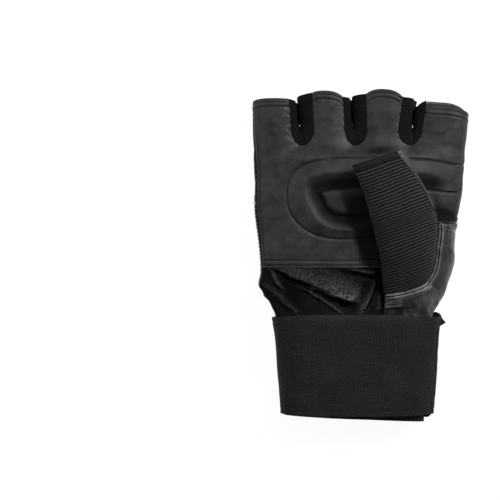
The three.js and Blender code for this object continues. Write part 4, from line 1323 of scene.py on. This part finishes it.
def make_thumb_leather():
    along = np.r_[np.linspace(0.15, THUMB_CROTCH, 26)[:-1], np.linspace(THUMB_CROTCH, 1.02, 90)]
    rise = follow(THUMB_RISE, "centre", along) * THUMB_HEIGHT
    drop = GAP * lerp(4.6, 1.4, smoothstep(THUMB_CROTCH - 0.02, THUMB_CROTCH + 0.03, along))
    inset = np.degrees(np.arcsin((drop / rise) ** (THUMB_POWER / 2)))
    end = lerp(215, 360 - inset, smoothstep(0.12, THUMB_CROTCH, along))
    up = strip_angle(along)
    end = end + np.where(up > 0, np.minimum(up + inset, up * 2) - 1.2 * np.minimum(up, 1), 0)
    angles = lerp((180 + inset)[:, None], end[:, None], np.linspace(0, 1, 42)[None])
    points, normals = thumb_point(angles, along[:, None])
    edge = np.abs(end[:, None] - angles)
    x, y = points[..., 0], points[..., 1]
    relief = 0.2 * bump(edge, 6) - 0.25 * bump(edge - 9, 2.5) + 0.2 * noise(x, y, 6, 95)
    # Painted highlight on the strip of leather that comes up round the thumb's right edge.
    wear = (0.9 + noise(x, y, 1.1, 99)) * smoothstep(355, 366, angles)
    piece = skin_wall("thumb_leather_panel", points, normals, LEATHER, relief, wear=wear)
    return finish(piece, ["thumb_leather"], "palm_leather", PALM_LEATHER, LINING, rim=0.25)


# The lower edge of the thumb's ribs runs from 0 at the thumb's hole by a corner to its end
EDGE_CORNER = 6
EDGE_END = 12
EDGE_END_ANGLE = 158


def past_corner(g):
    return np.clip((g - EDGE_CORNER) / (EDGE_END - EDGE_CORNER), 0, 1)


def thumb_edge(g):
    along = lerp(THUMB_CROTCH - 0.02, 0, np.clip(g / EDGE_CORNER, 0, 1))
    return thumb_point(EDGE_END_ANGLE * past_corner(g), along)


def away_from_thumb(points, g):
    """Directions out of the thumb's edge, flat on the palm and smoothed along it."""
    along = np.gradient(points, axis=0)
    direction = unit(vector(along[:, 1], -along[:, 0], 0))
    weight = np.exp(-(((g[:, None] - g[None]) / 0.55) ** 2))
    return -unit(weight @ direction)


def make_welt():
    g = np.linspace(0, EDGE_END, 110)
    edge, _ = thumb_edge(g)
    away = away_from_thumb(edge, g)
    turn = np.linspace(0, 2 * math.pi, 29)[:-1]
    across = np.cos(turn)
    up = np.abs(np.sin(turn)) ** 0.7 * np.sign(np.sin(turn))
    valley = bump(across, 0.26)
    waist = 1 - 0.85 * valley
    wide = WELT * 1.25 + 0.2
    ends = np.sqrt(np.clip(smoothstep(0, 0.5, g) * smoothstep(EDGE_END, 11.6, g), 0.02, 1))[:, None]
    side = 0.1 + wide / 2 + wide / 2 * across[None] * ends
    lift = WELT * 0.42 * (up * waist)[None] * ends + 0.12 * noise(g[:, None] * 6, across[None] * 2, 3, 97)
    points = placed(edge[:, None] + away[:, None] * side[..., None] + vector(0, 0, lift))
    centre = points.mean(axis=1, keepdims=True)
    # Painted highlight on top of the two cords and painted shade in the valley between them, with random
    # tone.
    tone_with_painted_light = 0.9 * np.clip(up, 0, 1) - 1.9 * valley + 0.35 * noise(g[:, None] * 8, across[None], 2, 98)
    piece = wall("thumb_welt_cord", points, lerp(points, centre, 0.7), closed=True, wear=tone_with_painted_light)
    return finish(piece, ["thumb_welt"], "welt_leather", WELT_LEATHER, WELT_LEATHER)


def outside_hand(points):
    """The points moved out to the hand's oval where they lie inside it, and the oval's normals."""
    oval = hand_oval(points[..., 1])
    power, rise = oval_half(oval, points[..., 2] >= oval["middle"])
    across = (points[..., 0] - oval["centre"]) / oval["half"]
    up = (points[..., 2] - oval["middle"]) / rise
    size = np.minimum((np.abs(across) ** power + np.abs(up) ** power) ** (1 / power), 1)
    moved = points.copy()
    moved[..., 0] = oval["centre"] + (points[..., 0] - oval["centre"]) / size
    moved[..., 2] = oval["middle"] + (points[..., 2] - oval["middle"]) / size
    return moved, oval_normal(oval, across, up, power, rise)


def make_thumb_base():
    tuck = np.array([3.0, 2 * GAP - 0.1, 1.4 * GAP, 0.7 * GAP])
    sink = np.array([LEATHER + 0.5, LEATHER + 0.35, 1.0, 0.3])
    first = len(tuck)
    g = np.linspace(0, EDGE_END, 141)
    tuck, sink = (np.r_[part, np.zeros(len(g))] for part in (tuck, sink))
    edge, _ = thumb_edge(g)
    away = away_from_thumb(edge, g)
    edge, away = (np.concatenate([np.repeat(part[:1], first, 0), part]) for part in (edge, away))
    g = np.r_[np.zeros(first), g]
    top = palm_hem(COLUMNS)[-1] - 2 * GAP
    heel_x = skin_point(2, np.array([HEEL_END]), np.array([0.0]), True)[0][0, 0]
    heel_angle = float(angle_at(hand_oval(np.array(-TUCK)), heel_x + 2 * GAP))
    start = edge + away * (WELT + 2 * GAP) - vector(0, 0, WELT * 0.3)
    y = lerp(top, -TUCK, np.clip(g / EDGE_CORNER, 0, 1))
    end, end_normal = hand_point(lerp(SIDE_SEAM_ANGLE, heel_angle, past_corner(g)), y)
    sideways = vector(end_normal[:, 2], 0, -end_normal[:, 0])
    arrive = unit(lerp(sideways, vector(0, -1, 0), smoothstep(EDGE_CORNER - 2, EDGE_CORNER + 2, g)[:, None]))
    reach = np.linalg.norm(start - end, axis=1)[:, None] * 0.36
    s = np.linspace(0, 1, 70)[None, :, None]
    b = [start, start + away * reach, end - arrive * reach, end]
    weights = [(1 - s) ** 3, 3 * s * (1 - s) ** 2, 3 * s**2 * (1 - s), s**3]
    points = sum(weight * point[:, None] for weight, point in zip(weights, b))
    first_oval = hand_oval(y)
    first_angle = lerp(angle_at(first_oval, start[:, 0])[:, None], SIDE_SEAM_ANGLE, s[0, :, 0][None])
    on_skin = hand_point(first_angle, y[:, None])[0]
    points = lerp(on_skin, points, smoothstep(0, 1, g)[:, None, None])
    points, hand_out = outside_hand(points)
    normals = grid_normals(points[first:])
    normals = np.concatenate([np.repeat(normals[:1], first, 0), normals])
    if (normals * hand_out).sum() < 0:
        normals = -normals
    normals = unit(lerp(normals, hand_out, smoothstep(0.14, 0.71, s)))
    x, y = points[..., 0], points[..., 1]
    free = smoothstep(0, 0.1, s[0, :, 0])[None] * smoothstep(1, 0.9, s[0, :, 0])[None]
    relief = 0.5 * (creases(x * 0.8, y * 0.5, 5, 101) - 0.5) + 0.25 * (creases(x, y, 2.4, 103) - 0.5)
    relief = relief * free
    seam = np.linalg.norm(points - start[:, None], axis=-1)
    relief = relief + 0.3 * bump(seam - 0.9, 0.8)
    to_heel = x - points[-1:, :, 0]
    slot = bump(np.maximum(to_heel, 0), 2.2) * smoothstep(EDGE_CORNER, 11, g)[:, None]
    flap = smoothstep(11.5, 9.5, to_heel) * (g[:, None] > EDGE_CORNER) * smoothstep(0, 0.6, to_heel)
    lines = (bump(seam - 2.6, 0.45) + bump(seam - 4.9, 0.45)) * flap
    relief = relief + 0.55 * smoothstep(6.0, 5.3, seam) * flap * free + 0.2 * lines
    # Painted light: lighter on the raised places, along the seam and on the flap's lines as painted
    # highlight, and over the upper part as painted sheen.
    upper = 1.45 * smoothstep(9.8, 7.0, g)[:, None] * (0.75 + 0.5 * noise(x, y, 6, 105))
    wear = np.clip(relief * 1.6, 0, 1) + upper + 0.8 * bump(seam, 1.2) + 1.2 * lines
    # A dark line beside the seam, and painted shade in the slot.
    wear = wear - 0.6 * bump(seam - 2.2, 0.5) * (1 - flap) - 0.8 * slot
    # Painted shade below the flap, and painted light and shade on the crumples: lighter on their swellings,
    # darker in their valleys.
    shade_below_flap = smoothstep(5.5, 7.0, seam) * smoothstep(13, 9, to_heel)
    shade_below_flap = shade_below_flap * smoothstep(EDGE_CORNER, 9, g)[:, None]
    crumple_shading = (creases(x, y, 2.4, 103) - 0.45) * bump(to_heel - 18, 7) * (seam > 5)
    wear = wear - 3.0 * shade_below_flap + 1.4 * crumple_shading
    relief = relief - 0.8 * slot * free
    points[..., 1] += tuck[:, None]
    outer = raised(points, normals, relief - sink[:, None])
    inner = raised(points, normals, -np.maximum(LEATHER, sink[:, None] + 0.3))
    piece = wall("thumb_base_panel", outer, inner, wear=wear)
    return finish(piece, ["thumb_base"], "back_leather", BACK_LEATHER, LINING, rim=0.2)


def thumb_stitches():
    rows = []
    for along in (0.962, 0.982):
        angles = np.linspace(172, float(strip_angle(along)) + 6, 60)
        points, normals = thumb_point(angles, along)
        rows.append(stitch_row(raised(points, normals, 0.1), normals, **THUMB_STITCHES))
    along = np.linspace(THUMB_CROTCH + 0.14, 0.99, 90)
    points, normals = thumb_point(strip_angle(along) - 7, along)
    rows.append(stitch_row(placed(points), normals, **SMALL_STITCHES))
    return thread_piece("thumb_stitches", rows, THREADS)


# The wrist


def make_cuff():
    angles = np.linspace(0, 360, 145)[:-1]
    bottom = -CUFF_LENGTH + CUFF_SLANT * (1 - np.cos(np.radians(angles))) / 2
    rows = [np.full(len(angles), y) for y in np.linspace(TUCK * 0.5, -TUCK * 2.2, 10)]
    rows += [lerp(-TUCK * 2.2, bottom, share) for share in np.linspace(0, 1, 60)[1:]]
    y = np.array(rows)
    points, normals = hand_point(angles[None], y)
    inset = (LEATHER + 2 * GAP) * smoothstep(-2 * TUCK, -TUCK * 1.2, y)
    from_end = y - bottom
    hem = -0.3 * bump(from_end - 4, 0.5) + 0.1 * noise(points[..., 0], y, 8, 111)
    outer = raised(points, normals, hem - GAP - inset)
    inner = raised(points, normals, hem * 0.5 - GAP - inset - CUFF_WALL)
    piece = wall("cuff_sleeve", outer, inner, closed=True)
    return finish(piece, ["cuff"], "elastic", ELASTIC, LINING, rim=0.3)


def strap_skin(angle, y, out):
    return raised(*hand_point(np.mod(angle, 360), y), out)


# How far the wrap's end stays from the tip's, the share of its width that an edge's close rows take,
# and its length for each degree round the wrist
END_GAPS = 1.8
STRAP_EDGE = 0.06
MM_PER_DEGREE = 0.75


def make_strap():
    oval = hand_oval(np.array(-WRAP_WIDTH / 2))
    oval["top_power"] = WRIST_BACK_POWER
    end_angle = -float(angle_at(oval, STRAP_END_X - END_GAPS * GAP))
    angles = np.linspace(STRAP_START, end_angle, 300)[None]
    edge_rows = np.linspace(0, STRAP_EDGE, 9)
    plain_rows = np.linspace(STRAP_EDGE, 1 - STRAP_EDGE, 50)[1:-1]
    share = np.r_[edge_rows, plain_rows, 1 - edge_rows[::-1]][:, None]
    side = np.abs(np.cos(np.radians(angles))) ** 4
    y = lerp(-2 * side, -WRAP_WIDTH + 0.8 * side, share)
    rise = STRAP_RISE * smoothstep(176, 0, angles)
    from_edge = WRAP_WIDTH * np.minimum(share, 1 - share)
    band = -0.22 * bump(from_edge - 3.0, 0.6) - 0.12 * smoothstep(3.0, 2.2, from_edge)
    run = angles * MM_PER_DEGREE
    right = bump((np.mod(angles + 180, 360) - 180) - 6, 22)
    ridges = 0.22 * right * np.sin(run * 2 * math.pi / 2.3 + 1.5 * noise(run, y, 9, 121))
    soft = 0.22 * noise(run, y, 17, 122) + 0.08 * noise(run, y, 6, 123)
    relief = (band + ridges + soft) * smoothstep(end_angle, end_angle + 6, angles)
    outer = strap_skin(angles, y, GAP + rise + STRAP - 0.15 + relief)
    inner = strap_skin(angles, y, GAP + rise)
    wear = 0.12 * smoothstep(3.4, 2.6, WRAP_WIDTH * share) + 0.10 * noise(run, y, 12, 124)
    # Painted shade: darker towards both sides of the wrist, where the wrap turns down.
    wear = wear - 0.45 * smoothstep(112, 168, angles) - 0.22 * smoothstep(70, 20, angles)
    piece = wall("wrist_wrap", outer, inner, wear=wear)
    return finish(piece, ["wrist_strap"], "elastic", ELASTIC, ELASTIC, rim=0.35)


# The flaps of the wrap's start. along: place along the wrist, out: how far it stands out. In mm.
START_FLAPS = table(
    "along out",
    (-62.1, 0.8),
    (-60.6, 2.6),
    (-59.2, 1.4),
    (-57.4, 2.4),
    (-56.2, 0.2),
    (-9.0, 0.1),
    (-7.8, 3.8),
    (-5.3, 8.0),
    (-2.4, 5.2),
    (0.0, 3.4),
    (1.2, 0.6),
)


def make_strap_start():
    lift_shares = np.linspace(0, 1, 16)[None]
    angles = STRAP_START + lerp(6, 18, lift_shares)
    places, outs = ([flap[column] for flap in START_FLAPS] for column in ("along", "out"))
    y = np.linspace(places[-1], places[0], 170)[:, None]
    base = 2 * GAP + np.interp(y, places, outs) * lift_shares**1.4
    outer = strap_skin(angles, y, base + STRAP * 0.8 + 0.1 * noise(angles, y, 3, 131))
    inner = strap_skin(angles, y, base)
    piece = wall("wrap_start", outer, inner)
    return finish(piece, ["strap_start"], "elastic", ELASTIC, ELASTIC, rim=0.3)


def d_outline(from_x, length, width, count=150):
    """A D, straight at the thumb's side and round at the little finger's, with rounded corners."""
    middle = -WRAP_WIDTH / 2
    curve = min(width * 0.55, length * 0.6)
    turn = np.linspace(math.pi / 2, math.pi * 3 / 2, 90)
    arc = np.stack([from_x - length + curve + curve * np.cos(turn), middle + width / 2 * np.sin(turn)], -1)
    corners = np.array([(from_x, middle - width / 2), (from_x, middle + width / 2)])
    loop = np.concatenate([arc, corners, arc[:1]])
    steps = np.r_[0, np.cumsum(np.linalg.norm(np.diff(loop, axis=0), axis=1))]
    where = np.linspace(0, steps[-1], count + 1)[:-1]
    return np.stack([np.interp(where, steps, loop[:, k]) for k in range(2)], -1)


def d_ring(from_x, length, width, inset):
    """The D's outline, that many millimetres further in."""
    centre = np.array([from_x - length / 2, -WRAP_WIDTH / 2])
    half = np.array([length / 2, width / 2])
    return centre + (d_outline(from_x, length, width) - centre) * (1 - inset / half)


def d_plate(name, from_x, length, width, low, thickness, profile, insets):
    """A flat D of rings. profile: how far both faces lie under the full thickness at each inset."""
    flat = np.array([d_ring(from_x, length, width, inset) for inset in insets])
    sunk = np.array([profile(inset) for inset in insets])
    top, bottom = low + thickness - sunk, low + sunk
    sag = 0.05 * noise(flat[..., 0], flat[..., 1], 7, 141)
    outer = np.dstack([flat, np.broadcast_to(top[:, None], flat.shape[:2]) + np.minimum(sag, 0)])
    inner = np.dstack([flat, np.broadcast_to(bottom[:, None], flat.shape[:2])])
    return wall(name, placed(outer), placed(inner), closed=True)


RING_INSETS = np.r_[0, 0.15, 0.5, 1.0, np.linspace(1.8, 7.5, 16), np.linspace(8.5, 28.3, 14)]
PATCH_WIDTH = TIP_WIDTH - 2 * PATCH_BORDER + 3
TAPE_WIDTH = TIP_WIDTH - 2 * TAPE_BORDER
BINDING_SEAM = 4.4
PATCH_SEAM = 2.0


def insets_of(width):
    """The same rings for a narrower plate, a little short of its middle."""
    return RING_INSETS * width / TIP_WIDTH * 0.98


def round_edge(inset, radius=0.9):
    return radius * (1 - math.sqrt(max(0, 1 - (1 - min(inset, radius) / radius) ** 2)))


def make_tip():
    def binding(inset):
        step = 0.35 * float(smoothstep(PATCH_BORDER - 0.3, PATCH_BORDER + 0.3, inset))
        return round_edge(inset) + step + 0.15 * float(bump(inset - BINDING_SEAM, 0.5))

    piece = d_plate(
        "strap_tip_bound", TIP_FROM, TIP_LENGTH, TIP_WIDTH, PATCH + GAP, TIP, binding, RING_INSETS
    )
    return finish(piece, ["strap_tip"], "elastic", BINDING, BINDING)


def make_patch():
    def face(inset):
        return round_edge(inset, 0.5) + 0.15 * float(bump(inset - PATCH_SEAM, 0.5))

    piece = d_plate(
        "strap_patch_leather", PATCH_FROM, PATCH_LENGTH, PATCH_WIDTH, 0, PATCH, face, insets_of(PATCH_WIDTH)
    )
    return finish(piece, ["strap_patch"], "back_leather", BACK_LEATHER, BACK_LEATHER)


def make_hook_tape():
    def face(inset):
        return round_edge(inset, 0.25)

    low = PATCH + TIP + 2 * GAP
    piece = d_plate(
        "hook_tape_pad", TAPE_FROM, TAPE_LENGTH, TAPE_WIDTH, low, TAPE, face, insets_of(TAPE_WIDTH)
    )
    return finish(piece, ["hook_tape"], "hook_tape", HOOKS, HOOKS)


def strap_stitches():
    rows = []
    for from_x, length, width, inset, z in (
        (TIP_FROM, TIP_LENGTH, TIP_WIDTH, BINDING_SEAM, PATCH + GAP + 0.1),
        (PATCH_FROM, PATCH_LENGTH, PATCH_WIDTH, PATCH_SEAM, 0.22),
    ):
        ring = d_ring(from_x, length, width, inset)
        path = placed(vector(ring[:, 0], ring[:, 1], z))
        rows.append(stitch_row(path, np.broadcast_to([0.0, 0.0, -1.0], path.shape), lift=0.02))
    return thread_piece("strap_stitches", rows, THREADS)


def make_gussets():
    for index in range(len(GUSSETS)):
        make_gusset(index)


for make in (
    make_palm, make_pad, make_heel, make_gussets, make_knuckles, make_ribs, make_lower_back,
    make_thumb_ribs, make_thumb_leather, make_welt, make_thumb_base, make_cuff, make_strap,
    make_strap_start, make_tip, make_patch, make_hook_tape, palm_stitches, back_stitches,
    thumb_stitches, strap_stitches,
):
    make()


# Floor, light and camera, in metres
VIEW_CENTRE = (SHIFT[0] * MM - 0.0669, SHIFT[1] * MM + 0.0386)
GLOVE_MIDDLE_HEIGHT = 0.017
FRAME_WIDTH = 0.300
LENS = 135
SENSOR = 36
FLOOR_REACH = 3.0
FLOOR_DROP = 0.0002
WALL_RADIUS = 2.9
WALL_HEIGHT = 3.0
WORLD_STRENGTH = 0.03
WHITE = (1, 1, 1, 1)
AIM = (0.0, 0.0, 0.02)
LIGHTS = table(
    "name place size power",
    ("key", (0.95, 0.75, 0.90), (0.5, 0.5), 17.5),
    ("overhead", (0.05, 0.75, 1.45), (0.9, 0.6), 5.0),
    ("fill", (-1.0, 0.2, 0.8), (0.7, 0.7), 3.5),
    ("front", (0.7, -1.2, 0.36), (1.2, 0.4), 3.2),
    ("rear", (-0.8, 1.2, 0.40), (1.2, 0.4), 3.0),
)


def stage_piece(name, points, faces, grey, specular, glow, roughness):
    mesh = bpy.data.meshes.new(name)
    mesh.from_pydata(points, [], faces)
    piece = bpy.data.objects.new(name, mesh)
    bpy.context.scene.collection.objects.link(piece)
    made, _, _ = start_material(
        name, Base_Color=(grey, grey, grey, 1), Specular_IOR_Level=specular, Roughness=roughness,
        Emission_Color=WHITE, Emission_Strength=glow,
    )
    mesh.materials.append(made)
    return piece


def make_floor():
    signs = [(-1, -1), (1, -1), (1, 1), (-1, 1)]
    corners = [(x * FLOOR_REACH, y * FLOOR_REACH, 0) for x, y in signs]
    piece = stage_piece("floor", corners, [(0, 1, 2, 3)], 0.15, 0.1, 0.94, 0.9)
    piece.location.z = -FLOOR_DROP


def make_backdrop():
    """A white wall far round the glove. It is seen, but lights nothing."""
    turns = np.radians(np.arange(0, 360, 5))
    low_ring = vector(np.cos(turns) * WALL_RADIUS, np.sin(turns) * WALL_RADIUS, 0)
    points = np.concatenate([low_ring, low_ring + [0, 0, WALL_HEIGHT]]).tolist()
    count = len(turns)
    faces = [(k, (k + 1) % count, (k + 1) % count + count, k + count) for k in range(count)]
    piece = stage_piece("backdrop", points, faces, 0, 0.0, 1.0, 1.0)
    piece.visible_diffuse = False
    piece.visible_glossy = False
    piece.visible_shadow = False


def make_light(name, place, size, power):
    light = bpy.data.lights.new(name, "AREA")
    light.shape = "RECTANGLE"
    light.size, light.size_y = size
    light.energy = power
    holder = bpy.data.objects.new(name, light)
    holder.location = place
    holder.rotation_mode = "QUATERNION"
    holder.rotation_quaternion = (Vector(AIM) - Vector(place)).to_track_quat("-Z", "Y")
    bpy.context.scene.collection.objects.link(holder)


def make_camera():
    camera = bpy.data.cameras.new("camera")
    camera.lens = LENS
    camera.sensor_width = SENSOR
    holder = bpy.data.objects.new("camera", camera)
    distance = FRAME_WIDTH * LENS / SENSOR
    holder.location = (*VIEW_CENTRE, distance + GLOVE_MIDDLE_HEIGHT)
    bpy.context.scene.collection.objects.link(holder)
    bpy.context.scene.camera = holder


make_floor()
make_backdrop()
for row in LIGHTS:
    make_light(**row)
world = bpy.data.worlds.new("studio")
world.use_nodes = True
world.node_tree.nodes["Background"].inputs["Color"].default_value = WHITE
world.node_tree.nodes["Background"].inputs["Strength"].default_value = WORLD_STRENGTH
bpy.context.scene.world = world
bpy.context.scene.view_settings.view_transform = "Standard"
make_camera()
